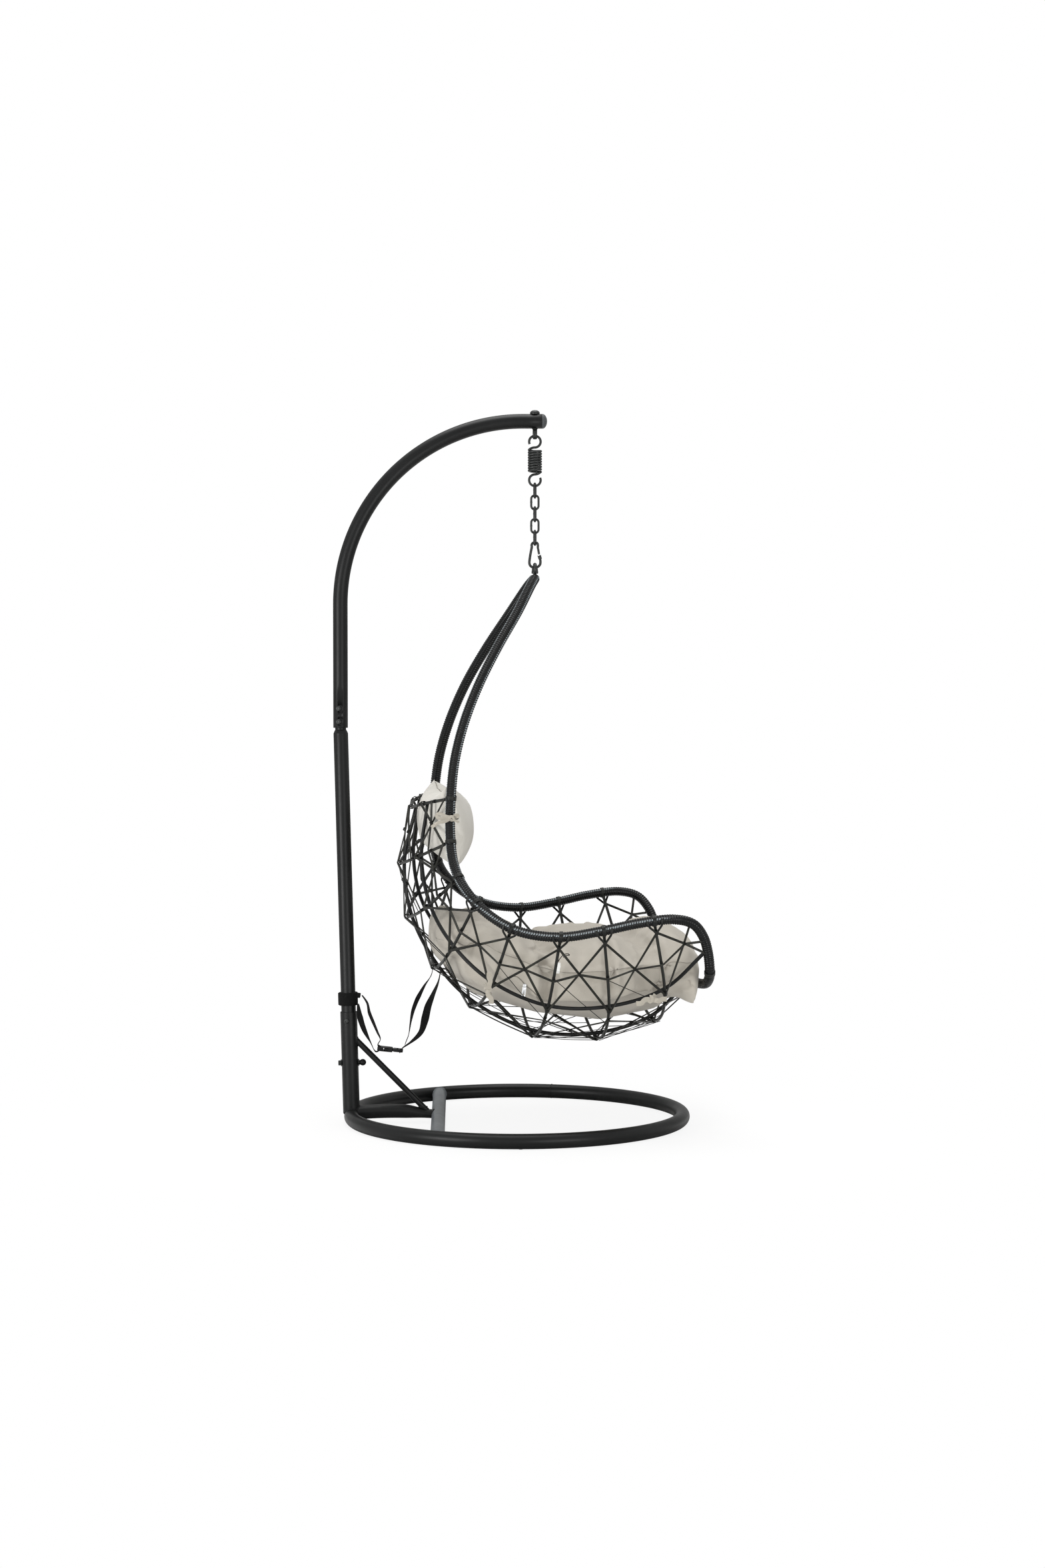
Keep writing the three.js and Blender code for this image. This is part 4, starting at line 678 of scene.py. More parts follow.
def dressed(
        piece: Piece, finish: Finish, body: Body | str | None, *nodes: str,
        slot: Slot | None = None) -> Piece:
    """Gives a piece its material and body, and lets it stand for nodes of the frame.

    Args:
        piece: the finished piece, in place.
        finish: what it is finished with.
        body: the body that it rides on, or None to leave it on no body.
        nodes: the frame's nodes that it replaces.
        slot: the record's slot, where it isn't the finish's own; not used.

    Returns:
        The same piece.
    """
    piece.data.materials.clear()
    piece.data.materials.append(finish.made())
    if body is not None:
        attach(piece, body.value if isinstance(body, Body) else body)
    if nodes:
        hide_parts(*nodes)
    log.info("%s: %d faces", piece.name, len(piece.data.polygons))
    return piece


# ------------------------------------------------------------------ curves
@dataclass
class Smooth:
    """A smooth curve through points, which keeps its bends evenly round."""

    points: Rows

    def at(self, share: float) -> Rows:
        """Gives the point at a share of the way, counted in spans between points."""
        last = len(self.points) - 1
        place = last * share
        i = min(int(place), last - 1)
        t = place - i
        p = self.points
        before = p[i - 1] if i else 2 * p[0] - p[1]
        after = p[i + 2] if i + 2 <= last else 2 * p[last] - p[last - 1]
        row = [before, p[i], p[i + 1], after]
        d = [max(np.linalg.norm(row[k + 1] - row[k]) ** 0.5, 1e-4) for k in range(3)]
        m1 = (row[1] - row[0]) / d[0] - (row[2] - row[0]) / (d[0] + d[1]) + (row[2] - row[1]) / d[1]
        m2 = (row[2] - row[1]) / d[1] - (row[3] - row[1]) / (d[1] + d[2]) + (row[3] - row[2]) / d[2]
        m1, m2 = m1 * d[1], m2 * d[1]
        c2 = -3 * row[1] + 3 * row[2] - 2 * m1 - m2
        c3 = 2 * row[1] - 2 * row[2] + m1 + m2
        return row[1] + m1 * t + c2 * t**2 + c3 * t**3

    def spans(self, count: int) -> Rows:
        """Gives points at equal shares."""
        return np.array([self.at(i / count) for i in range(count + 1)])

    def even(self, step: float) -> Rows:
        """Gives points about one step apart along the curve."""
        return resampled(self.spans(40 * (len(self.points) - 1)), step)


def resampled(path: Rows, step: float) -> Rows:
    """Points at even distances along a path."""
    run = lengths(path)
    places = np.linspace(0, run[-1], max(int(round(run[-1] / step)), 2) + 1)
    return np.stack([np.interp(places, run, path[:, k]) for k in range(3)], 1)


def arc(centre: Place, radius: float, a: Place, b: Place, start: float, end: float, steps: int) -> Rows:
    """Points of an arc in the plane of two axes, between two angles in degrees."""
    turn = np.radians(np.linspace(start, end, steps + 1))[:, None]
    return np.asarray(centre, float) + radius * (
        np.cos(turn) * np.asarray(a, float) + np.sin(turn) * np.asarray(b, float))


# ------------------------------------------------------------------ studio
@dataclass(frozen=True)
class Lamp:
    """One soft lamp: where it hangs, where it points, its size and its power."""

    name: str
    place: tuple[float, float, float]
    aim: tuple[float, float, float]
    size: float
    power: float


@dataclass
class Studio:
    """The camera, the soft lamps and the white sweep that the chair stands on."""

    camera_place: tuple[float, float, float] = (0.300, -7.498, 1.180)
    heading: float = 1.3  # degrees from +Y towards +X
    dip: float = 1.903  # degrees below level
    lens: float = 62.8
    floor_keep: float = 0.12  # how much of the floor's own shade the camera sees under the chair
    daylight: float = 0.42
    chair_x: float = 0.45
    shadow_reach: Pair = (0.5, 1.5)  # from chair_x, where the floor starts and ends turning plain white
    floor_size: Pair = (40, 24)
    wall_rise: float = 12
    wall_bend: float = 5.0
    lamps: tuple[Lamp, ...] = (
        Lamp("key_lamp", (-3.3, -3.6, 1.1), (0.3, 0.0, 0.9), 2.2, 150),
        Lamp("fill_lamp", (2.6, -4.4, 0.35), (0.5, 0.0, 0.6), 2.0, 92),
        Lamp("top_lamp", (0.4, 0.3, 7.0), (0.45, 0.0, 0.8), 4.5, 360),
    )

    def build(self) -> None:
        """Makes the camera first, then the lamps, the daylight and the floor."""
        data = bpy.data.cameras.new("camera")
        data.lens, data.sensor_width = self.lens, 36
        camera = added("camera", data)
        camera.location = self.camera_place
        camera.rotation_euler = (math.radians(90 - self.dip), 0, math.radians(-self.heading))
        bpy.context.scene.camera = camera
        bpy.context.scene.view_settings.view_transform = "Standard"
        for lamp in self.lamps:
            self.hang(lamp)
        self.light_the_world()
        self.lay_the_floor()

    def hang(self, lamp: Lamp) -> None:
        """Hangs one lamp."""
        data = bpy.data.lights.new(lamp.name, "AREA")
        data.size, data.energy = lamp.size, lamp.power
        lit = added(lamp.name, data)
        lit.location = lamp.place
        lit.rotation_euler = (Vector(lamp.aim) - Vector(lamp.place)).to_track_quat("-Z", "Y").to_euler()

    def light_the_world(self) -> None:
        """Lights evenly from all round, and shows white to the camera and in reflections."""
        world = bpy.data.worlds.new("daylight")
        world.use_nodes = True
        bpy.context.scene.world = world
        tree = world.node_tree
        seen = wired(tree, "LightPath").outputs
        either = {"operation": "MAXIMUM"}
        through = wired(tree, "Math", either, n0=seen["Is Glossy Ray"], n1=seen["Is Transmission Ray"])
        direct = wired(tree, "Math", either, n0=seen["Is Camera Ray"], n1=through.outputs[0])
        level = wired(tree, "MapRange", None, Value=direct.outputs[0], To_Min=self.daylight)
        shade = tree.nodes["Background"]
        shade.inputs["Color"].default_value = (1, 1, 1, 1)
        tree.links.new(level.outputs[0], shade.inputs["Strength"])

    def lay_the_floor(self) -> None:
        """Lays a pale floor that rises behind in one sweep and keeps the chair's soft shadow."""
        floor = primitive("plane", "floor", (*self.floor_size, 1), size=1, location=(0, 0, 0))
        far = self.floor_size[1] / 2 - 0.1
        with editing(floor):
            bpy.ops.mesh.select_all(action="DESELECT")
            bpy.ops.object.mode_set(mode="OBJECT")
            for edge in floor.data.edges:
                edge.select = all(floor.data.vertices[v].co.y > far for v in edge.vertices)
            bpy.ops.object.mode_set(mode="EDIT")
            bpy.ops.mesh.select_mode(type="EDGE")
            bpy.ops.mesh.extrude_region_move(TRANSFORM_OT_translate={"value": (0, 0, self.wall_rise)})
        modified(floor, "BEVEL", width=self.wall_bend, segments=24, limit_method="ANGLE")
        smoothed(floor, 30)
        mix = Recipe("white_sweep", Roughness=0.85)
        mix.shade(mix.noise(mix.place(), 3, 3), ("f0f0ef", "f4f4f3", "f7f7f6"))
        seen = mix.node("LightPath").outputs["Is Camera Ray"]
        plain = mix.node("Emission", None, Color=(1, 1, 1, 1), Strength=1.0)
        away = mix.node("VectorMath", {"operation": "DISTANCE"}, n0=mix.place(), n1=(self.chair_x, 0.0, 0.0))
        near = mix.node(
            "MapRange", {"interpolation_type": "SMOOTHSTEP"}, Value=away.outputs["Value"],
            From_Min=self.shadow_reach[0], From_Max=self.shadow_reach[1], To_Min=1 - self.floor_keep)
        part = mix.times(seen, near.outputs[0])
        blend = mix.node("MixShader", None, n0=part, n1=mix.surface.outputs[0], n2=plain.outputs[0])
        mix.tree.links.new(blend.outputs[0], mix.tree.nodes["Material Output"].inputs["Surface"])
        floor.data.materials.append(mix.material)
        floor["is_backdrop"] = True


# ------------------------------------------------------------------ stand
def meeting(start: Rows, direction: Rows, surface: Callable[[Rows], Rows], reach: float) -> Rows:
    """The points where straight lines first meet a surface.

    Args:
        start: a row of starting points in metres.
        direction: the lines' common direction.
        surface: gives the distance of points from the surface, negative inside.
        reach: how far to look.

    Returns:
        One point for each line; a line that misses ends at its reach.
    """
    steps = np.linspace(0, reach, 400)[None, :, None]
    points = start[:, None] + direction * steps
    inside = surface(points) < 0
    first = np.where(inside.any(1), inside.argmax(1), -1)
    return points[np.arange(len(start)), first]


def bead(name: str, path: Rows, radius: float = 2.2) -> Piece:
    """A rippled weld bead along a closed path."""
    path = resampled(np.vstack([path, path[:1]]), 1.2 * MM)[:-1]
    ripple = 1 + 0.16 * np.sin(TAU * lengths(path) / (3.4 * MM))
    outline = oval(radius * MM, radius * MM, 10)[None] * ripple[:, None, None]
    return smoothed(swept(name, path, square_up(path, True), outline, True), 60)


@dataclass
class Stand:
    """The floor ring, its struts, the pole, the bent arm and all that is bolted to them."""

    tube: float = 20  # radius of ring, pole and arm
    ring: float = 455  # centreline radius
    bar_x: float = 239
    bar: float = 19
    lean: float = math.radians(1.5)
    socket: float = 23
    socket_top: float = 306
    joint: float = 1085  # the arm's lower end
    neck: float = 15
    arm_height: float = 1922
    bend: float = 500
    hang_x: float = 504
    overhang: float = 20
    spine_rise: float = 31
    spine_end: float = 27
    brace: float = 8
    brace_top: float = 247
    brace_foot: Pair = (205, 34)
    clamp_height: float = 165
    screw_heights: Pair = (1102, 1138)
    socket_screw: float = 282
    screw_turn: float = math.radians(-14)  # from -Y, about the pole

    def build(self) -> None:
        """Builds every piece of the stand."""
        self.build_base()
        self.build_uprights()
        self.build_fasteners()
        self.build_eye()

    def axis(self, height: float) -> Rows:
        """A point of the leaning pole's axis, in metres."""
        return np.array([-math.tan(self.lean) * (height - self.tube), 0, height]) * MM

    def on_pole(self, height: float = 20) -> Matrix:
        """The frame on the pole's axis at a height, with Z along the pole."""
        return Matrix.Translation(Vector(self.axis(height))) @ Matrix.Rotation(-self.lean, 4, "Y")

    def from_ring(self, points: Rows) -> Rows:
        """The distance of points from the ring's surface."""
        reach = np.hypot(points[..., 0] - self.ring * MM, points[..., 1]) - self.ring * MM
        return np.hypot(reach, points[..., 2] - self.tube * MM) - self.tube * MM

    def from_socket(self, points: Rows) -> Rows:
        """The distance of points from the socket's surface, which ends at its top."""
        along = np.array([-math.sin(self.lean), 0, math.cos(self.lean)])
        offset = points - self.axis(self.tube)
        away = offset - (offset @ along)[..., None] * along
        return np.linalg.norm(away, axis=-1) - self.socket * MM

    def build_base(self) -> None:
        """The floor ring, the cross bar, the bowed spine tube and the brace, with their welds."""
        ring = primitive(
            "torus", "floor_ring", location=(self.ring * MM, 0, self.tube * MM), major_radius=self.ring * MM,
            minor_radius=self.tube * MM, major_segments=192, minor_segments=36)
        seam_at = math.radians(76)
        outward = np.array([math.cos(seam_at), math.sin(seam_at), 0])
        centre = (self.ring * (X + outward) + self.tube * Z) * MM
        butt = bead("butt_weld", arc(centre, (self.tube + 0.1) * MM, outward, Z, 0, 350, 60), 1.1)
        vent = lathe("vent_grommet", [(3.4, -1.2), (5.6, -1.2), (6.2, 0.2), (5.4, 0.9), (3.6, 0.9)],
                     turn_to(Z, (self.ring * MM, -self.ring * MM, 0.9 * MM)), 24)
        ring = grounded(joined([smoothed(ring), butt, vent], "floor_ring"))
        dressed(ring, Finish.COATED, Body.STAND, "base_ring")

        reach = math.sqrt(self.ring**2 - (self.ring - self.bar_x) ** 2)
        turn = ticks(72)
        circle = np.stack(
            [self.bar_x + self.bar * np.cos(turn), 0 * turn, self.tube + self.bar * np.sin(turn)], 1) * MM
        beads = [bead("bar_weld", meeting(circle, s * Y, self.from_ring, 0.42), 2.0) for s in (-1, 1)]
        line = np.array([(self.bar_x, y, self.tube) for y in (-reach, 0, reach)])
        tube = wire("bar_tube", line * MM, self.bar * MM, 48)
        bar = grounded(joined([tube, *beads], "cross_tube"))
        # the bar's coat is painted lighter, as painted light falling on its top
        dressed(bar, Finish.BAR, Body.STAND, "cross_bar")

        self.build_spine()
        self.build_brace()

    def spine_size(self, share: float) -> tuple[float, float, float]:
        """The height, half width and half depth of the spine at a share of its length."""
        pinch = min(max((share - 0.62) / 0.33, 0), 1)
        pinch = pinch * pinch * (3 - 2 * pinch)
        height = self.spine_end + (self.spine_rise - self.spine_end) * math.sin(math.pi * share)
        return height - 4 * pinch, 19 + 5 * pinch, 19 - 7 * pinch

    def build_spine(self) -> None:
        """The bowed tube from the socket to the cross bar, flattened at its front end."""
        start, end, steps = 8.0, self.bar_x - self.bar + 3, 48
        path, outlines = [], []
        for i in range(steps + 1):
            height, wide, deep = self.spine_size(i / steps)
            path.append((start + (end - start) * i / steps, 0, height))
            outlines.append(oval(wide * MM, deep * MM, 40))
        tube = smoothed(swept("spine_body", np.array(path) * MM, Z, np.array(outlines)), 50)
        height, wide, deep = self.spine_size(0.0)
        turn = ticks(60)
        rim = np.stack([0 * turn + 60, wide * np.cos(turn), height + 1 + deep * np.sin(turn)], 1) * MM
        foot = bead("spine_weld", meeting(rim, -X, self.from_socket, 0.06), 1.8)
        height, wide, deep = self.spine_size(1.0)
        rim = np.stack([0 * turn + end - 12, wide * np.cos(turn), height + deep * np.sin(turn)], 1) * MM
        bar = lambda p: np.hypot(p[..., 0] - self.bar_x * MM, p[..., 2] - self.tube * MM) - self.bar * MM
        nose = bead("spine_nose_weld", meeting(rim, X, bar, 0.03), 1.6)
        dressed(joined([tube, foot, nose], "bowed_spine"), Finish.COATED, Body.STAND, "spine_tube")

    def build_brace(self) -> None:
        """The thin tube from the socket down to the spine."""
        top = self.axis(self.brace_top)
        foot = np.array([self.brace_foot[0], 0, self.brace_foot[1]]) * MM
        along = unit(foot - top)
        line = np.array([top + 5 * MM * along, (top + foot) / 2, foot + 4 * MM * along])
        tube = wire("brace_body", line, self.brace * MM, 32)
        over = np.cross(along, Y)
        turn = ticks(40)[:, None]
        rim = top + 0.12 * along + self.brace * MM * (np.cos(turn) * Y + np.sin(turn) * over)
        upper = bead("brace_weld", meeting(rim, -along, self.from_socket, 0.14), 1.7)
        spine = lambda p: np.hypot(p[..., 1] / 22, (p[..., 2] - 28.5 * MM) / 14.5) - 1 * MM
        lower = bead("brace_foot_weld", meeting(rim, along, spine, 0.24), 1.7)
        dressed(joined([tube, upper, lower], "brace_strut"), Finish.COATED, Body.STAND, "brace_tube")

    def build_uprights(self) -> None:
        """The socket, the pole and the bent arm with its end plug."""
        base = self.on_pole()
        rise = lambda height: (height - self.tube) / math.cos(self.lean)
        top = rise(self.socket_top)
        # in from the socket's side and down from its top
        wall = [(0, 0.9), (0.7, 0), (1.6, 0), (2.3, 0.8), (2.3, 8)]
        lip = [(self.socket - inward, top - down) for inward, down in wall]
        socket = lathe("pole_cup", [(self.socket, 6), (self.socket, 30), *lip], base, 64)
        for vertex in socket.data.vertices:
            if vertex.co.z < 0.03 and math.hypot(vertex.co.x, vertex.co.y) > 0.01:
                probe = np.array([[vertex.co.x, vertex.co.y, 0.08]])
                vertex.co.z = max(meeting(probe, -Z, self.from_ring, 0.055)[0][2] - 0.001, 0.0265)
        turn = ticks(96)
        forward = np.maximum(self.socket * np.cos(turn), 0.6 - self.tube)
        rim = np.stack([forward, self.socket * np.sin(turn), 0 * turn + 90], 1) * MM
        weld = bead("socket_weld", meeting(rim, -Z, self.from_ring, 0.063), 2.4)
        dressed(joined([socket, weld], "pole_cup"), Finish.COATED, Body.STAND, "pole_socket")

        shoulder = rise(self.joint - 6)
        pole = lathe(
            "pole_tube",
            [
                (self.tube, 45), (self.tube, shoulder - 10), (self.tube - 0.6, shoulder - 7.5),
                (self.neck + 1.4, shoulder - 1), (self.neck, shoulder + 1), (self.neck, shoulder + 60)],
            base, 64)
        dressed(pole, Finish.COATED, Body.STAND, "mid_pole")

        foot_x = self.axis(self.joint)[0] / MM
        centre = np.array([foot_x + self.bend, 0, self.arm_height - self.bend])
        bend = arc(centre, self.bend, X, Z, 180, 90, 56)
        start = np.array([[foot_x, 0, self.joint + z] for z in (0, 0.8, 120, 240)])
        end = np.array([[self.hang_x + self.overhang - x, 0, self.arm_height] for x in (40, 0.8, 0)])
        path = np.vstack([start, bend, end]) * MM
        radii = np.full(len(path), float(self.tube))
        radii[[0, -1]] -= 0.8
        outlines = oval(1, 1, 64)[None] * radii[:, None, None] * MM
        arm = smoothed(swept("arm_body", path, Y, outlines), 50)
        drill = [self.drill(foot_x, h, self.tube) for h in self.screw_heights]
        dressed(cut(arm, *drill), Finish.COATED, Body.STAND, "arm_tube")

        end = turn_to(X, np.array([self.hang_x + self.overhang, 0, self.arm_height]) * MM)
        crown = dome(self.tube, 0.6, 12.8, 90, 14)[:-1]
        plug = lathe(
            "arm_cap", [(17.6, -10), (18, -1.2), (self.tube - 0.2, -0.2), *crown, (0, 13.4)], end, 64)
        dressed(plug, Finish.PLUG, Body.STAND, "arm_end_plug")

    def drill(self, x: float, height: float, surface: float) -> Piece:
        """A countersink for a screw that enters from the near side."""
        return lathe(
            "drill", [(9.2, 0), (9.2, 6)], turn_to(-Y, np.array([x, -surface + 1.6, height]) * MM), 40)

    def screw(self, name: str) -> Piece:
        """A button-head screw with a hexagon recess, its seat at the origin and its head along Z."""
        button = dome(7.2, 0.9, 3.2, 72, 9, 0.7)
        head = lathe(name, [(3.8, -11), (4, -10.4), (4, 0.3), (7.2, 0.3), *button], Matrix.Identity(4), 48)
        key = lathe("key", [(2.7, 1.9), (2.7, 6)], Matrix.Identity(4), 6)
        return smoothed(cut(head, key), 30)

    def build_fasteners(self) -> None:
        """The three screws and the clamp bolt with its washers and knob."""
        foot_x = self.axis(self.joint)[0]
        master = self.screw("screw")
        places = [
            (f"joint_screw_{number}", np.array([foot_x, 0, height * MM]), self.tube, f"arm_screw_{number}")
            for number, height in enumerate(self.screw_heights, 1)]
        places.append(("cup_screw", self.axis(self.socket_screw), self.socket, "socket_screw"))
        for name, place, radius, node in places:
            turned = frame_at(place) @ Matrix.Rotation(self.screw_turn, 4, "Z")
            screw = copied(master, turned @ turn_to(-Y, (0, -(radius - 0.2) * MM, 0)))
            dressed(settled(screw, name), Finish.ZINC, Body.STAND, node)
        bpy.data.objects.remove(master)

        across = np.array([math.cos(self.lean), 0, math.sin(self.lean)])
        heart = self.axis(self.clamp_height)
        seat = self.socket + 0.3
        rear = turn_to(-across, heart - (seat + 2.3) * MM * across)
        bolt = lathe("bolt_head", [(7.0, 0), (7.6, 0.5), (7.6, 5.6), (6.6, 6.6)], Matrix.Identity(4), 6)
        shank = lathe("bolt_shank", [(5, -62), (5, 0.2)], Matrix.Identity(4), 32)
        bolt = joined([bolt, shank], "clamp_bolt_body")
        bolt.data.transform(rear)
        dressed(smoothed(bolt, 30), Finish.ZINC, Body.STAND, "clamp_bolt")
        ring = [(5.4, 0), (9.3, 0), (9.7, 0.5), (9.7, 1.5), (9.3, 2), (5.4, 2)]
        for name, way in (("rear", -1), ("front", 1)):
            washer = lathe(
                f"washer_{name}", ring, turn_to(way * across, heart + way * seat * MM * across), 40)
            dressed(washer, Finish.ZINC, Body.STAND, f"clamp_washer_{name}")
        rows = [(6.2, 0), (6.6, 0.6), (6.6, 3.2)]
        rows += [(9.1 * math.sin(a), 9.4 - 9.1 * math.cos(a)) for a in np.radians(np.linspace(48, 180, 16))]
        rows[-1] = (0, rows[-1][1])
        knob = lathe("ball_knob", rows, turn_to(across, heart + (seat + 2.3) * MM * across), 48)
        dressed(knob, Finish.PLASTIC, Body.STAND, "clamp_knob")

    def build_eye(self) -> None:
        """The eye bolt through the arm's end and the domed nut on top."""
        centre = np.array([self.hang_x, 0, self.arm_height - self.tube - 0.3 - 14.5]) * MM
        ring = swept(
            "eye_ring", arc(centre, 11.7 * MM, Y, Z, 0, 360, 64)[:-1], X, oval(2.8 * MM, 6 * MM, 20, 2.6),
            True)
        rows = [(5.0, 8), (6.2, 10.5), (6.6, 13.2), (8.2, 14.3), (8.2, 14.8), (5, 14.8), (5, 60)]
        neck = lathe("eye_neck", rows, frame_at(centre), 32)
        dressed(joined([smoothed(ring), neck], "eye_bolt_body"), Finish.ZINC, Body.STAND, "eye_bolt")
        top = np.array([self.hang_x, 0, self.arm_height + self.tube]) * MM
        crown = dome(13.4, 2.6, 8.0, 90, 12)[:-1]
        nut = lathe("domed_nut", [(12.6, -1.2), (13.4, 0.2), *crown, (0, 10.6)], frame_at(top), 48)
        dressed(nut, Finish.ZINC, Body.STAND, "dome_nut")


# ------------------------------------------------------------------ hanger
@dataclass
class Hanger:
    """The tension spring, the five chain links, the carabiner and its gate."""

    hang_x: float = 504
    spring_wire: float = 3.3
    coil_swell: float = 0.18  # how much thicker the wire looks where the coils touch
    coil: float = 16.2
    pitch: float = 7.05
    turns: float = 8.5
    spring_centre: float = 1814.14
    hook_centre: float = 1866.6
    hook: float = 15.7
    hook_opening: float = 65
    link_wire: float = 3
    link_length: float = 44.5
    link_width: float = 26
    link_pitch: float = 32.2
    twist: float = math.radians(11)  # how far the odd links hang from square
    first_link: float = 1755.579
    carabiner_top: float = 1595.879
    carabiner_wire: float = 3.5
    body_rows: Pairs = (
        (8.6, 9), (6.4, 2.6), (0, 0), (-6.4, 2.6), (-8.9, 8), (-8.4, 12), (-10.6, 24), (-14, 44.5),
        (-15, 57.5), (-12, 64.5), (-5, 68.9), (2, 69.3), (9, 66.5), (14.2, 60.5), (15.2, 52), (13.6, 42))
    gate_top: Pair = (8.2, 13.5)
    gate_foot: Pair = (11.4, 33)

    def build(self) -> None:
        """Builds the hanger from the top down."""
        self.build_spring()
        self.build_chain()
        self.build_carabiner()

    def build_spring(self) -> None:
        """One wire: hook, close coils, hook."""
        half = self.turns / 2
        turn = np.linspace(0, half, int(half * 28) + 1)
        angle = math.pi / 2 + TAU * turn
        coil = np.stack([self.coil * np.cos(angle), self.coil * np.sin(angle), self.pitch * turn], 1)
        centre = np.array([0, 0, self.hook_centre - self.spring_centre])
        hook = arc(centre, self.hook, X, Z, -90, 270 - self.hook_opening, 48)
        handle = self.coil * 0.6
        a, b, c, d = coil[-1], coil[-1] - handle * Y, hook[0] - handle * X, hook[0]
        t = np.linspace(0, 1, 14)[1:-1, None]
        crossing = (1 - t) ** 3 * a + 3 * (1 - t) ** 2 * t * b + 3 * (1 - t) * t**2 * c + t**3 * d
        upper = np.vstack([coil, crossing, hook])
        lower = (upper[1:] * (-1, 1, -1))[::-1]
        path = (np.vstack([lower, upper]) + (self.hang_x, 0, self.spring_centre)) * MM
        edge = half * self.pitch
        rise = np.abs(path[:, 2] / MM - self.spring_centre)
        radius = self.spring_wire + self.coil_swell * np.clip(edge - rise, 0, self.pitch) / self.pitch
        outline = oval(MM, MM, 14)[None] * radius[:, None, None]
        spring = smoothed(swept("tension_spring", path, square_up(path), outline), 50)
        dressed(spring, Finish.ZINC, None, "hanger_spring")
        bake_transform(spring)

    def build_chain(self) -> None:
        """Five welded links, each a quarter turn from the one above."""
        radius = self.link_width / 2 - self.link_wire
        straight = self.link_length / 2 - self.link_wire - radius
        for number in range(1, 6):
            middle = self.first_link - (number - 1) * self.link_pitch - self.link_length / 2
            across = Y * math.cos(self.twist) + X * math.sin(self.twist) if number % 2 else X
            heart = np.array([self.hang_x, 0, middle])
            bends = ((straight, 0, 180), (-straight, 180, 360))
            path = np.vstack([arc(heart + up * Z, radius, across, Z, a, b, 24) for up, a, b in bends])
            path = resampled(np.vstack([path, path[:1]]) * MM, 1.6 * MM)[:-1]
            rows = lengths(path)
            weld = rows[np.argmin(np.linalg.norm(path - (heart - radius * across) * MM, axis=1))]
            swell = 1 + 0.13 * np.exp(-(((rows - weld) / (1.7 * MM)) ** 2))
            outline = oval(self.link_wire * MM, self.link_wire * MM, 16)[None] * swell[:, None, None]
            link = smoothed(swept(f"link_{number}_wire", path, np.cross(across, Z), outline, True), 60)
            dressed(link, Finish.ZINC, f"link_{number}", f"chain_link_{number}")

    def point(self, row: Place) -> Rows:
        """A point of the carabiner, given sideways and down from its crown."""
        return np.array([self.hang_x + row[0], 0, self.carabiner_top - self.carabiner_wire - row[1]])

    def build_carabiner(self) -> None:
        """The snap hook: bent wire, nose sleeve, rivet and sprung gate."""
        rows = np.array([self.point(r) for r in self.body_rows])
        path = Smooth(rows).even(1.2) * MM
        body = wire("hook_wire", path, self.carabiner_wire * MM, 20)
        hinge, foot = self.point(self.gate_top), self.point(self.gate_foot)
        tongue = slab("tongue", (6.4, 2.8, 10), frame_at((hinge + 1.2 * Z) * MM), 1.2)
        start = foot - 1.4 * Z
        nose = turn_to(unit(rows[-1] - start), start * MM)
        sleeve = lathe(
            "nose_sleeve", [(3.9, 1.4), (4.9, 2.2), (4.9, 10.6), (4.2, 12.4), (3.5, 12.8)], nose, 36)
        dressed(joined([body, tongue, sleeve], "snap_hook"), Finish.ZINC, Body.CARABINER, "carabiner_body")
        collar = lathe("nose_ring", [(3.0, -0.4), (4.9, -0.2), (5.2, 0.6), (5.0, 1.8), (3.0, 1.9)], nose, 36)
        dressed(collar, Finish.BRIGHT, Body.CARABINER)
        end = [(1.2, 2.3), (2.1, 2.4), (2.0, 2.9), (1.2, 2.9)]
        start = [(radius, -height) for radius, height in end[::-1]]
        rivet = lathe("gate_rivet", [*start, *end], turn_to(Y, hinge * MM), 24)
        dressed(rivet, Finish.ZINC, Body.CARABINER, "carabiner_pin")
        along = unit(foot - hinge)
        length = float(np.linalg.norm(foot - hinge))
        rows = [(2.4, 3.2), (3.1, 4.4), (3.1, length - 1.2), (2.6, length - 0.2)]
        bar = lathe("gate_bar", rows, turn_to(along, hinge * MM), 28)
        places = [(hinge + 1.6 * along + s * 2.3 * Y) * MM for s in (-1, 1)]
        cheeks = [slab("cheek", (6.0, 1.5, 9.5), turn_to(along, place), 0.7) for place in places]
        dressed(joined([bar, *cheeks], "snap_gate"), Finish.ZINC, Body.GATE, "carabiner_gate")


# ------------------------------------------------------------------ basket
BASKET = Matrix.Translation((0.504, 0, 0.001079)) @ Matrix.Rotation(math.radians(4.7), 4, "Z")
SIDE_ROWS = (
    (0, 9, 1493), (-14, 40, 1474), (-58, 116, 1400), (-120, 175, 1300), (-174, 218, 1200), (-215, 246, 1100),
    (-242, 271, 1000), (-254, 293, 900), (-257, 318, 800), (-249, 352, 725), (-216, 418, 655),
    (-159, 455, 601), (-92, 477, 566), (10, 491, 552), (113, 497, 566), (216, 502, 587), (305, 501, 596),
    (357, 490, 583), (388, 470, 547), (404, 452, 500))
FRONT_ROWS = ((412, 430, 452), (419, 360, 420), (427, 200, 397), (430, 0, 390))
HOOP_ROWS = (
    ("z", 906, (-316, 165, 884), (-337, 869)), ("z", 792, (-333, 170, 742), (-369, 716)),
    ("z", 700, (-312, 222, 612), (-349, 570)), ("z", 638, (-253, 300, 506), (-278, 431)),
    ("x", -112, (-152, 350, 414), (-176, 325)), ("x", 10, (-7, 370, 353), (-8, 242)),
    ("x", 124, (155, 370, 349), (169, 232)), ("x", 252, (303, 370, 393), (328, 279)))
CAGE_CENTRE = np.array([0.0, 0.0, 700.0])


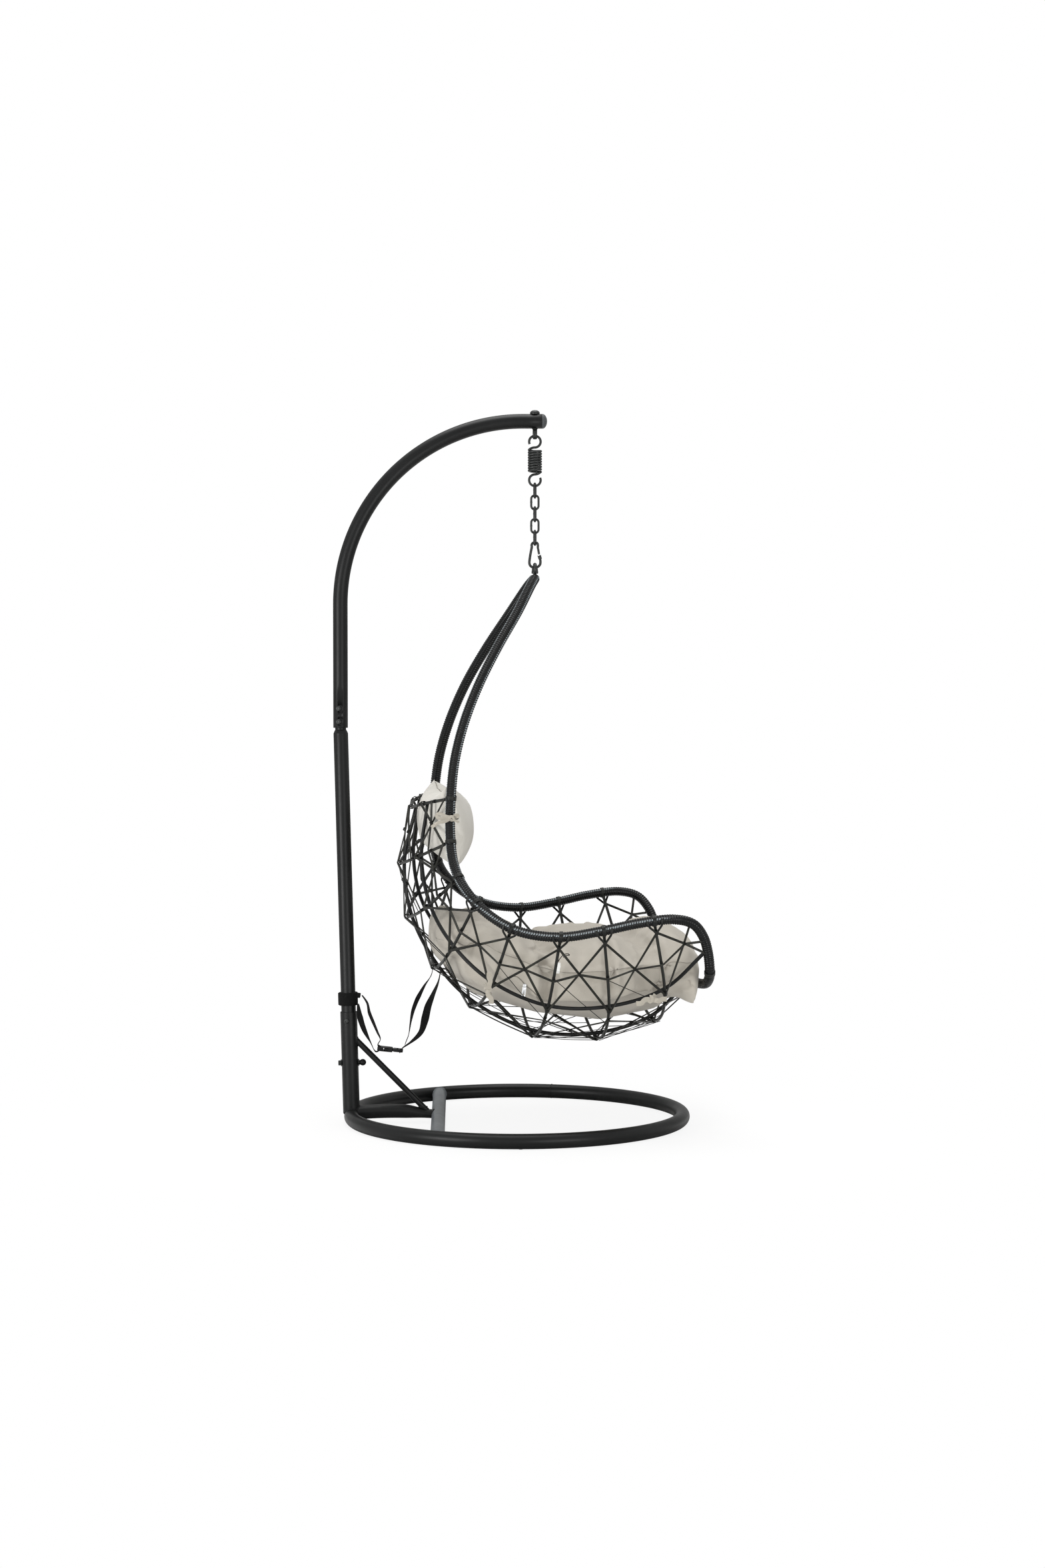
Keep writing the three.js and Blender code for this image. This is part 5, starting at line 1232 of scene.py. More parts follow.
def in_basket(rows: Rows) -> Rows:
    """Points or directions of the basket's frame, in millimetres, as points in metres."""
    rows = np.asarray(rows, float)
    return rows @ np.array(BASKET.to_3x3()).T * MM + np.array(BASKET.translation)


def basket_way(rows: Rows) -> Rows:
    """Directions of the basket's frame as directions of the room."""
    return np.asarray(rows, float) @ np.array(BASKET.to_3x3()).T


def flip(rows: Rows, side: Side) -> Rows:
    """Rows for the left side, or the same for the right."""
    return np.asarray(rows, float) * (1, side.value, 1)


class Loop:
    """The basket's frame tube as one closed line: down one side, round the front and up again."""

    def __init__(self) -> None:
        """Draws the line through the drawing's rows."""
        half = np.array([*SIDE_ROWS, *FRONT_ROWS], float)
        self.curve = Smooth(np.vstack([half, flip(half[:-1], Side.RIGHT)[::-1]]))
        self.fine = self.curve.spans(1200)
        self.path = resampled(self.fine, lengths(self.fine)[-1] / 1200)
        self.corner = next(i for i, p in enumerate(self.path) if p[0] > 350 and p[2] < FRONT_ROWS[0][2])

    def where(self, along: str, value: float) -> Rows:
        """The first point of the left side past a height or a forward place."""
        axis, sign = (2, -1) if along == "z" else (0, 1)
        start = 0 if along == "z" else next(i for i, p in enumerate(self.fine) if p[2] < 640)
        return next(p for p in self.fine[start:] if sign * (p[axis] - value) >= 0)

    def tangent(self, point: Rows) -> Rows:
        """The line's direction at its point nearest to a given one."""
        i = int(np.argmin(np.linalg.norm(self.path - point, axis=1)))
        i = min(max(i, 2), len(self.path) - 3)
        return unit(self.path[i + 2] - self.path[i - 2])


@dataclass
class WovenFrame:
    """The two side tubes and the front bar, closely wound with flat cane and plaited on top."""

    loop: Loop
    radius: float = 13.3
    pitch: float = 6.4
    groove: float = 1.7
    plait_bed: float = 2.4  # depth of the plait's lowest parts
    plait_lift: float = 3.4
    plait_half: float = math.radians(80)
    tip: float = 17  # length over which the upper ends round off
    sides: int = 40
    steps_per_turn: int = 6

    def build(self) -> None:
        """Builds both side tubes, the front bar and the lashings."""
        corner = self.loop.corner
        for side in Side:
            path = flip(np.vstack([(4, 6.5, 1503), self.loop.path[: corner + 1]]), side)
            tube = self.wound(f"woven_side_{side.name.lower()}", path, side)
            self.trim_at_apex(tube, side)
            dressed(tube, Finish.WRAP, Body.BASKET, f"side_frame_{side.name.lower()}")
        front = self.loop.path[corner : len(self.loop.path) - corner]
        dressed(self.wound("woven_front_bar", front, None), Finish.WRAP, Body.BASKET, "front_bar")
        self.build_lashings()

    def plait_way(self, path: Rows, side: Side | None) -> Rows:
        """The direction in which the plait lies, along a path of the basket's frame."""
        outward = np.zeros_like(path)
        outward[:, 1] = side.value if side else 0
        height = np.clip((path[:, 2] - 610) / 160, 0, 1)[:, None] if side else np.zeros((len(path), 1))
        rear = np.array([-0.35, 0, 0]) * height
        return unit(outward * (0.25 + 0.75 * height) + Z * (1 - height) + rear)

    def wound(self, name: str, path: Rows, side: Side | None) -> Piece:
        """A tube wound with cane.

        Args:
            name: the piece's name.
            path: its centreline in the basket's frame, in millimetres.
            side: the side whose outer face carries the plait, two raised rows and a column of
                chevrons, or None for the front bar, which is wound with round turns only.

        Returns:
            The wound tube; one end of a side tube is rounded off.
        """
        path = resampled(path, self.pitch / self.steps_per_turn)
        run = lengths(path)[:, None]
        around = (TAU * (np.arange(self.sides) + 0.5) / self.sides)[None]
        turns = self.radius - self.groove * self.valley(run / self.pitch + around / TAU, 2.2)
        away = np.abs(np.mod(around - math.pi / 2 + math.pi, TAU) - math.pi) / self.plait_half
        row = np.clip(1 - ((away - 0.74) / 0.24) ** 2, 0, 1) ** 0.6
        column = np.clip(1 - (away / 0.44) ** 4, 0, 1)
        row = row * (1 - 0.8 * self.valley(run / self.pitch + 0.9 * away, 3))
        column = column * (0.7 - 0.7 * self.valley(run / self.pitch + 1.1 * away, 1.6))
        plait = self.radius - self.plait_bed + self.plait_lift * np.maximum(row, column)
        strength = self.plait_strength(path, side)[:, None] * (away < 1)
        radius = turns * (1 - strength) + plait * strength
        # crown sets where the cane's colour paints highlights on ring tops and plait rows, and painted shade
        # in the grooves
        crown = 0.55 * (1 - self.valley(run / self.pitch + around / TAU, 1.4)) * (1 - strength)
        crown = crown + np.maximum(row, 0.7 * column) * strength
        if side:
            radius = radius * np.sqrt(1 - np.clip(1 - run / self.tip, 0, 1) ** 2)
        outline = np.stack([radius * np.cos(around), radius * np.sin(around)], -1) * MM
        piece = swept(name, in_basket(path), basket_way(self.plait_way(path, side)), outline, crown=crown)
        return smoothed(piece, 75)

    @staticmethod
    def valley(place: Rows, sharpness: float) -> Rows:
        """A groove that comes back at every whole number: 1 there and 0 halfway between."""
        return np.abs(2 * np.mod(place, 1) - 1) ** sharpness

    def plait_strength(self, path: Rows, side: Side | None) -> Rows:
        """How much of the plait shows: it runs out over the front hump."""
        if side is None:
            return np.zeros(len(path))
        forward = np.clip((330 - path[:, 0]) / 60, 0, 1)
        return np.where(path[:, 2] < 700, forward, 1.0)

    def trim_at_apex(self, tube: Piece, side: Side) -> None:
        """Presses the two tubes flat against each other where they meet at the top."""
        back = BASKET.inverted()
        for vertex in tube.data.vertices:
            local = back @ vertex.co
            if local.z > 1.38:
                local.y = side.value * max(local.y * side.value, 0.0002)
                local.z = min(local.z, 1.5068)
                vertex.co = BASKET @ local

    def lashing(self, point: Rows, width: float, turns: int, radius: float) -> Piece:
        """Turns of cane laid tightly round the tube at a point of the left side's line."""
        way = self.loop.tangent(point)
        a = unit(np.cross(way, Z))
        b = np.cross(way, a)
        step = width / turns
        turn = np.linspace(0, TAU * turns, 30 * turns + 1)[:, None]
        heart = point + way * (step * turn / TAU - width / 2)
        up = np.cos(turn) * a + np.sin(turn) * b
        path = heart + radius * up
        return swept("lashing", in_basket(path), basket_way(up), oval(step * 0.56 * MM, 1.1 * MM, 8, 3))

    def build_lashings(self) -> None:
        """Lashings where every rib meets the rim, and at the two front corners."""
        places = [(self.loop.where(along, at), 9.5, 2, self.radius + 0.4) for along, at, _, _ in HOOP_ROWS]
        places.append((self.loop.path[self.loop.corner], 14, 3, self.radius + 0.3))
        pieces = [self.mirrored_lashing(side, *row) for row in places for side in Side]
        dressed(smoothed(joined(pieces, "rim_lashings"), 60), Finish.KNOT, Body.BASKET, slot=Slot.WRAP)

    def mirrored_lashing(self, side: Side, *lashing: object) -> Piece:
        """A lashing on either side; the right one is the left one mirrored and turned right side out."""
        piece = self.lashing(*lashing)
        if side is Side.RIGHT:
            mirror = BASKET @ Matrix.Scale(-1, 4, (0, 1, 0)) @ BASKET.inverted()
            piece.data.transform(mirror)
            with editing(piece):
                bpy.ops.mesh.flip_normals()
        return piece


class Hoop:
    """One rib under the seat, from rim to rim by way of bilge and keel."""

    def __init__(self, loop: Loop, along: str, at: float, bilge: Place, keel: Place) -> None:
        """Draws the rib's line.

        Args:
            loop: the frame line that the rib hangs from.
            along: z or x, which says what at measures.
            at: the height or forward place where the rib leaves the rim.
            bilge: the point where the side turns in under the seat.
            keel: forward place and height of its lowest point.
        """
        self.rim = loop.where(along, at)
        self.bilge = np.array(bilge, float)
        self.keel = np.array([keel[0], 0, keel[1]], float)
        right = [flip(p, Side.RIGHT) for p in (self.bilge, self.rim)]
        self.curve = Smooth(np.array([self.rim, self.bilge, self.keel, *right]))

    def at(self, share: float) -> Rows:
        """The point at a share of the way from the left rim to the keel."""
        return self.curve.at(share / 2)


@dataclass
class Cage:
    """The ribs, the long rods and the cane net between them."""

    loop: Loop
    rib: float = 4.1
    rod: float = 5.0
    wrap_pitch: float = 5.2
    rod_gap: float = 1.9
    strand: Pair = (3.3, 1.5)  # half width and half thickness
    strand_offset: float = 8.3
    strand_end: float = 6.0
    step: float = 1.9  # between layers of crossing strands
    rim: float = 0.066
    middle: float = 0.27
    bilge: float = 0.5
    under: float = 0.57
    keel: float = 0.995
    sag: float = 3.0  # how far the thin strands bow outward
    binding: tuple[tuple[float, float, int, range], ...] = (
        (0.5, 0.09, 3, range(3, 4)), (0.27, 0.6, 1, range(4, 7)), (0.6, 0.985, 2, range(3, 7)),
        (0.985, 0.62, 0, range(7)), (0.78, 0.8, 3, range(3, 7)), (0.9, 0.7, 1, range(4, 7)),
        (0.985, 0.985, 4, range(4, 7)))  # shares on two ribs, a step in how they shift, and the bays
    hoops: list[Hoop] = field(default_factory=list)
    knots: list[tuple[Rows, Rows, Rows, float]] = field(default_factory=list)

    def build(self) -> None:
        """Builds ribs, rods, nets, knots and binding strands."""
        self.hoops = [Hoop(self.loop, *row) for row in HOOP_ROWS]
        self.build_ribs()
        self.build_rods()
        self.build_nets()
        self.build_knots()
        self.build_binding()

    def outward(self, index: int, share: float) -> Rows:
        """The direction out of the cage at a site, square to the rib and to the row of sites."""
        site = self.hoops[index].at(share)
        rib = self.hoops[index].at(share + 0.01) - self.hoops[index].at(share - 0.01)
        row = self.hoops[min(index + 1, 7)].at(share) - self.hoops[max(index - 1, 0)].at(share)
        normal = unit(np.cross(rib, row))
        return -normal if normal @ (site - CAGE_CENTRE) < 0 else normal

    def sites(self, share: float, offset: float) -> list[Rows]:
        """The sites of every rib at a share, moved outward."""
        return [h.at(share) + offset * self.outward(i, share) for i, h in enumerate(self.hoops)]

    def frame_site(self, point: Rows, offset: float) -> Rows:
        """A point of the frame line moved outward."""
        return point + offset * unit(point - CAGE_CENTRE)

    def build_ribs(self) -> None:
        """Eight rods wound finely with cane, thicker where they meet the rim."""
        for number, hoop in enumerate(self.hoops, 1):
            path = resampled(hoop.curve.spans(160), self.wrap_pitch / 3)
            run = lengths(path)
            ends = np.minimum(run, run[-1] - run)
            flare = 1 + 0.3 * np.exp(-((np.maximum(ends - 14, 0) / 5) ** 2))
            share = np.mod(run / self.wrap_pitch, 1)
            radius = self.rib * flare * (1 - 0.07 * np.abs(2 * share - 1) ** 3)
            outline = oval(MM, MM, 14)[None] * radius[:, None, None]
            piece = smoothed(
                swept(f"rib_{number}_rod", in_basket(path), basket_way(square_up(path)), outline), 70)
            dressed(piece, Finish.HOOP, Body.BASKET, f"rib_{number}")

    def long_rod(self, name: str, share: float, end: Rows, side: Side, node: str) -> None:
        """One long rod inside the ribs, through a site of each, to the frame."""
        through = [*self.sites(share, -(self.rib + self.rod + self.rod_gap - 0.6)), end]
        path = flip(Smooth(np.array(through)).even(6), side)
        piece = wire(name, in_basket(path), self.rod * MM, 16)
        dressed(piece, Finish.ROD, Body.BASKET, node)

    def build_rods(self) -> None:
        """The keel rod and the two bilge rods."""
        self.long_rod("keel_line", 1.0, self.loop.curve.at(0.5), Side.LEFT, "keel_rod")
        end = self.frame_site(self.loop.where("x", 402), -self.strand_end)
        for side in Side:
            name = side.name.lower()
            self.long_rod(f"bilge_line_{name}", self.bilge, end, side, f"bilge_rod_{name}")

    @staticmethod
    def crossing(a: Rows, b: Rows, c: Rows, d: Rows) -> Rows:
        """The point midway between two lines where they pass closest."""
        u, v, w = b - a, d - c, a - c
        uu, uv, vv, uw, vw = u @ u, u @ v, v @ v, u @ w, v @ w
        scale = uu * vv - uv * uv
        return (a + u * (uv * vw - vv * uw) / scale + c + v * (uu * vw - uv * uw) / scale) / 2

    def strand_along(self, corners: list[Rows], layer: int, side: Side) -> Piece:
        """A flat strand through corners, with a tight turn at each and a slight roll between them."""
        turn = self.strand[0] * 1.2
        rows = []
        for i, corner in enumerate(corners):
            if 0 < i < len(corners) - 1:
                to = unit(corners[i - 1] - corner)
                on = unit(corners[i + 1] - corner)
                if -to @ on <= 0.9:
                    rows += [corner + turn * to, corner + 0.25 * turn * (to + on), corner + turn * on]
                    continue
            rows.append(corner)
        rows = np.array(rows)
        path = [rows[0]]
        for a, b in zip(rows[:-1], rows[1:]):
            pieces = max(int(np.linalg.norm(b - a) / 14), 1)
            path += [a + (b - a) * (k + 1) / pieces for k in range(pieces)]
        path = np.array(path)
        outward = unit(path - CAGE_CENTRE)
        path = path + layer * self.step * outward
        roll = 0.22 * np.sin(lengths(path) / 61 + layer * 2.1 + len(corners))
        along = unit(np.gradient(path, axis=0))
        up = outward * np.cos(roll)[:, None] + np.cross(along, outward) * np.sin(roll)[:, None]
        path, up = flip(path, side), flip(up, side)
        return swept(
            "strand", in_basket(path), basket_way(up),
            oval(self.strand[0] * MM, self.strand[1] * MM, 10, 3.2))

    def note(self, point: Rows, along: Rows, outward: Rows, size: float = 1.0) -> None:
        """Notes where a knot goes on both sides."""
        for side in Side:
            self.knots.append((flip(point, side), flip(along, side), flip(outward, side), size))

    def zigzags(self, upper: list[Rows], lower: list[Rows], side: Side) -> tuple[list[Rows], list[Piece]]:
        """Two strands that cross in every bay between two rows of sites, and where they cross."""
        middles = [
            self.crossing(upper[i], lower[i + 1], lower[i], upper[i + 1]) for i in range(len(upper) - 1)]
        pieces = []
        for first in (0, 1):
            corners = []
            for i in range(len(upper)):
                corners.append(lower[i] if (i + first) % 2 else upper[i])
                if i < len(middles):
                    corners.append(middles[i])
            pieces.append(self.strand_along(corners, first, side))
        return middles, pieces

    def build_nets(self) -> None:
        """The side nets from rim to bilge and the net from bilge to keel."""
        rim, middle, bilge = (self.sites(s, self.strand_offset) for s in (self.rim, self.middle, self.bilge))
        rim.append(self.frame_site(self.loop.where("x", 345), self.strand_end))
        bilge.append(self.frame_site(self.loop.where("x", 404), self.strand_end))
        end = self.frame_site(self.loop.where("x", 391), self.strand_end)
        side_middles: list[Rows] = []
        for side in Side:
            middles, pieces = self.zigzags(rim, bilge, side)
            level = [p for pair in zip(middle, middles) for p in pair] + [end]
            pieces.append(self.strand_along(level, 2, side))
            name = side.name.lower()
            net = smoothed(joined(pieces, f"cane_net_{name}"), 50)
            dressed(net, Finish.STRAND, Body.BASKET, f"side_net_{name}")
            side_middles = middles
        below, keel = (self.sites(s, self.strand_offset) for s in (self.under, self.keel))
        below.append(self.frame_site(self.loop.curve.at(0.475), self.strand_end))
        keel.append(self.frame_site(self.loop.curve.at(0.498), self.strand_end))
        pieces, low_middles = [], []
        for side in Side:
            low_middles, made = self.zigzags(below, keel, side)
            pieces += made
        net = smoothed(joined(pieces, "cane_net_bottom"), 50)
        dressed(net, Finish.STRAND, Body.BASKET, "bottom_net")
        rows = ((self.rim, 0.68), (self.middle, 0.68), (self.bilge, 0.95), (self.under, 0.68), (0.985, 0.95))
        for share, size in rows:
            for i, hoop in enumerate(self.hoops):
                way = unit(hoop.at(share + 0.01) - hoop.at(share - 0.01))
                self.note(hoop.at(share), way, self.outward(i, share), size)
        for point in side_middles + low_middles:
            out = unit(point - CAGE_CENTRE)
            way = unit(np.cross(out, (0.2, 1.0, 0.1)))
            self.note(point + out * 2, unit(way + np.cross(out, way)), out, 0.55)

    def knot(self) -> Piece:
        """One knot about the origin: three turns of cane round Z, drawn together on the X side."""
        rings = []
        for number, height in enumerate((-4.2, 0, 4.2)):
            lean = 0.25 * (number - 1)
            turn = ticks(18)
            path = np.stack(
                [2.2 + 7.4 * np.cos(turn), 6.0 * np.sin(turn), height + lean * 6 * np.sin(turn)], 1) * MM
            up = unit(path * (1, 1, 0) - np.array([0.0022, 0, 0]))
            rings.append(swept("turn", path, up, oval(2.3 * MM, 0.95 * MM, 6, 3), True))
        return joined(rings, "knot")

    def build_knots(self) -> None:
        """Cane knots at every site and crossing, copied from one."""
        master = self.knot()
        copies = []
        for point, along, outward, size in self.knots:
            z = Vector(basket_way(along))
            x = Vector(basket_way(outward))
            x = (x - z * x.dot(z)).normalized()
            frame = Matrix((x, z.cross(x), z)).transposed().to_4x4()
            place = Matrix.Translation(Vector(in_basket(point))) @ frame @ Matrix.Scale(size, 4)
            copies.append(copied(master, place))
        bpy.data.objects.remove(master)
        piece = smoothed(joined(copies, "net_knots"), 60)
        dressed(piece, Finish.KNOT, Body.BASKET)

    def rim_strands(self) -> list[Piece]:
        """From each rib's first knot, two flat strands that run up round the rim to its sides."""
        pieces = []
        for index, hoop in enumerate(self.hoops[3:], 3):
            outward = self.outward(index, self.rim)
            knot = hoop.at(self.rim) + (self.strand_offset - 1) * outward
            top = hoop.at(0)
            along = unit(self.hoops[min(index + 1, 7)].at(0) - self.hoops[index - 1].at(0))
            for way in (-1, 1):
                side_way = unit(top - knot)
                foot = knot - 7 * side_way - way * 3.5 * along
                high = top + way * 17 * along + 15.5 * outward - 4 * side_way
                over = top + way * 21 * along + 12 * outward + 10 * side_way
                rows = Smooth(np.array([foot, (foot + high) / 2 + 0.8 * outward, high, over])).even(3)
                for side in Side:
                    run = in_basket(flip(rows, side))
                    up = basket_way(flip(np.tile(outward, (len(rows), 1)), side))
                    pieces.append(swept("rim_strand", run, up, oval(3.0 * MM, 1.2 * MM, 8, 3)))
        return pieces

    def build_binding(self) -> None:
        """Thin strands: under the rim from rib to rib, and crosswise round the back and the bottom."""
        lines: list[tuple[Rows, Rows]] = []
        for a, b, step, bays in self.binding:
            for i in bays:
                shift = 0.012 * ((i * 7 + step) % 5 - 2)
                start = self.hoops[i].at(min(a + shift, 0.99)) + 6.6 * self.outward(i, a)
                end = self.hoops[i + 1].at(min(b - shift, 0.99)) + 6.6 * self.outward(i + 1, b)
                lines.append((start, end))
        pieces = []
        share = np.linspace(0, 1, 9)[:, None]
        for start, end in lines:
            path = start + (end - start) * share
            path = path + unit(path - CAGE_CENTRE) * self.sag * np.sin(math.pi * share)
            for side in Side:
                run = in_basket(flip(path, side))
                pieces.append(swept("thin", run, square_up(run), oval(1.15 * MM, 0.9 * MM, 6)))
        pieces += self.rim_strands()
        piece = smoothed(joined(pieces, "thin_strands"), 70)
        dressed(piece, Finish.KNOT, Body.BASKET)


@dataclass
class BasketEye:
    """The ring at the apex that hangs in the carabiner, with its collar and stud."""

    centre: float = 1518.1
    ring: float = 12.6
    wire_radius: float = 4.9
    foot: float = 1507

    def build(self) -> None:
        """Builds the eye."""
        heart = in_basket((0, 0, self.centre))
        turning = basket_way(Y)
        ring = wire(
            "eye_loop", arc(heart, self.ring * MM, turning, Z, 0, 360, 56)[:-1], self.wire_radius * MM, 22,
            True)
        rows = [(4.9, -32), (5, -31), (5, -1.5), (8.4, -1.5), (9.2, -0.5), (9.2, 5.2), (8.7, 6), (8.4, 11)]
        rows += [(7.4, 13.4), (5.6, 14.4)]
        collar = lathe("eye_collar", rows, frame_at(in_basket((0, 0, self.foot))), 32)
        dressed(joined([ring, collar], "apex_eye"), Finish.ZINC, Body.BASKET, "basket_eye")


# ------------------------------------------------------------------ cushions
def read(rows: Pairs, place: float | Rows) -> Rows:
    """A value read from rows of place and value, by straight lines that run on past the ends."""
    x, v = np.array(rows, float).T
    place = np.asarray(place, float)
    inner = np.interp(place, x, v)
    before = v[0] + (place - x[0]) * (v[1] - v[0]) / (x[1] - x[0])
    after = v[-1] + (place - x[-1]) * (v[-1] - v[-2]) / (x[-1] - x[-2])
    return np.where(place < x[0], before, np.where(place > x[-1], after, inner))


@dataclass
class Filling:
    """How a cover is blown up over its filling."""

    voxel: float
    pressure: float
    slack: float  # how much larger the cover is than its shape, as a share
    inset: float  # metres drawn in before it is filled
    cap: float  # metres that a point may move
    frames: int = 20

    def fill(self, piece: Piece, held: Callable[[Rows], Rows]) -> Piece:
        """Remeshes a piece, blows it up as cloth and keeps the result.

        Args:
            piece: the closed cover, in place.
            held: says which points are sewn down, from their places in the basket's frame.

        Returns:
            The same piece, filled and finer by one subdivision.
        """
        only(piece)
        piece.data.remesh_voxel_size = self.voxel
        bpy.ops.object.voxel_remesh()
        with editing(piece):
            bpy.ops.transform.shrink_fatten(value=-self.inset)
        rest = self.places(piece)
        pins = piece.vertex_groups.new(name="sewn")
        pins.add(np.flatnonzero(held(self.local(rest))).tolist(), 1.0, "REPLACE")
        only(piece)
        bpy.ops.object.modifier_add(type="CLOTH")
        cloth = piece.modifiers[-1]
        cloth.settings.use_pressure = True
        cloth.settings.uniform_pressure_force = self.pressure
        cloth.settings.effector_weights.gravity = 0
        cloth.settings.quality = 4
        cloth.settings.shrink_min = -self.slack
        cloth.settings.vertex_group_mass = "sewn"
        cloth.point_cache.frame_end = self.frames
        for frame in range(1, self.frames + 1):
            bpy.context.scene.frame_set(frame)
        bpy.ops.object.modifier_apply(modifier=cloth.name)
        bpy.context.scene.frame_set(1)
        moved = self.places(piece) - rest
        far = np.linalg.norm(moved, axis=1, keepdims=True)
        kept = rest + moved * np.minimum(1, self.cap / np.maximum(far, 1e-9))
        piece.data.vertices.foreach_set("co", kept.ravel())
        piece.vertex_groups.clear()
        modified(piece, "SUBSURF", levels=1, render_levels=1)
        return smoothed(piece, 180)

    @staticmethod
    def places(piece: Piece) -> Rows:
        """The places of a mesh's vertices."""
        rows = np.zeros(len(piece.data.vertices) * 3)
        piece.data.vertices.foreach_get("co", rows)
        return rows.reshape(-1, 3)

    @staticmethod
    def local(rows: Rows) -> Rows:
        """Places in metres as millimetres of the basket's frame."""
        back = np.array(BASKET.inverted())
        return (rows @ back[:3, :3].T + back[:3, 3]) / MM


def formed(name: str, segments: int, rings: int, form: Callable[[float, float], Place]) -> Piece:
    """A cover shaped from a ball: each point goes where a form says.

    Args:
        name: the object's name.
        segments: faces round the ball's axis.
        rings: faces along it.
        form: gives a place in the basket's frame from a share along the axis and an angle round it.

    Returns:
        The shaped cover.
    """
    ball = primitive("uv_sphere", name, segments=segments, ring_count=rings, radius=1)
    rows = np.array([v.co for v in ball.data.vertices])
    shares = np.arccos(np.clip(-rows[:, 2], -1, 1)) / math.pi
    angles = np.arctan2(rows[:, 1], rows[:, 0])
    placed = in_basket([form(float(s), float(a)) for s, a in zip(shares, angles)])
    ball.data.vertices.foreach_set("co", placed.ravel())
    with editing(ball):
        bpy.ops.mesh.normals_make_consistent(inside=False)
    return ball


class Cover:
    """A filled cover's surface, on which seams and trims are laid."""

    def __init__(self, piece: Piece) -> None:
        """Keeps the piece's surface for looking up."""
        vertices = [v.co.copy() for v in piece.data.vertices]
        self.tree = BVHTree.FromPolygons(vertices, [tuple(p.vertices) for p in piece.data.polygons])

    def laid(self, rows: Rows, lift: float) -> tuple[Rows, Rows]:
        """Lays points on the surface.

        Args:
            rows: points in metres near the surface.
            lift: millimetres to stand off it.

        Returns:
            The laid points and the surface's directions there.
        """
        found = [self.tree.find_nearest(Vector(p)) for p in rows]
        points = np.array([f[0] + f[1] * lift * MM for f in found])
        return points, np.array([f[1] for f in found])


def seam(name: str, cover: Cover, rows: Rows, radius: float, lift: float, closed: bool = False) -> Piece:
    """A sewn seam: a thin raised line that follows a cover."""
    points, normals = cover.laid(in_basket(rows), lift)
    for _ in range(6):
        inner = points.copy()
        inner[1:-1] = (points[:-2] + 2 * points[1:-1] + points[2:]) / 4
        points = inner
    return smoothed(swept(name, points, normals, oval(radius * MM, radius * MM, 8), closed), 70)


def ribbon(
        name: str, rows: Sequence[Place], up: Place | Rows, width: float, thick: float = 0.9,
        step: float = 2.0) -> Piece:
    """A flat ribbon through points of the basket's frame."""
    path = Smooth(np.array(rows, float)).even(step)
    piece = swept(
        name, in_basket(path), basket_way(np.asarray(up, float)), oval(width / 2 * MM, thick / 2 * MM, 10,
        4))
    return smoothed(piece, 60)


@dataclass(frozen=True)
class Fold:
    """A crease pressed into both sides of a cover, with the cloth puffed up beside it."""

    line: Pairs  # forward place and height, in the basket's frame
    depth: float
    width: float
    from_side: float = 230  # how far out it starts

    def press(self, piece: Piece) -> None:
        """Presses the crease into a piece, along the surface's own directions."""
        rows = Filling.places(piece)
        local = Filling.local(rows)
        normals = np.zeros(len(rows) * 3)
        piece.data.vertex_normals.foreach_get("vector", normals)
        away = np.full(len(rows), 1e3)
        line = np.array(self.line, float)
        for a, b in zip(line[:-1], line[1:]):
            offset, run = local[:, [0, 2]] - a, b - a
            share = np.clip(offset @ run / (run @ run), 0, 1)
            away = np.minimum(away, np.linalg.norm(offset - share[:, None] * run, axis=1))
        away = away / self.width
        deep = np.exp(-(away**2)) - 0.4 * np.exp(-(((away - 2.1) / 0.9) ** 2))
        outer = np.clip((np.abs(local[:, 1]) - self.from_side) / 70, 0, 1)
        rows -= normals.reshape(-1, 3) * (self.depth * deep * outer)[:, None] * MM
        piece.data.vertices.foreach_set("co", rows.ravel())
        piece.data.update()


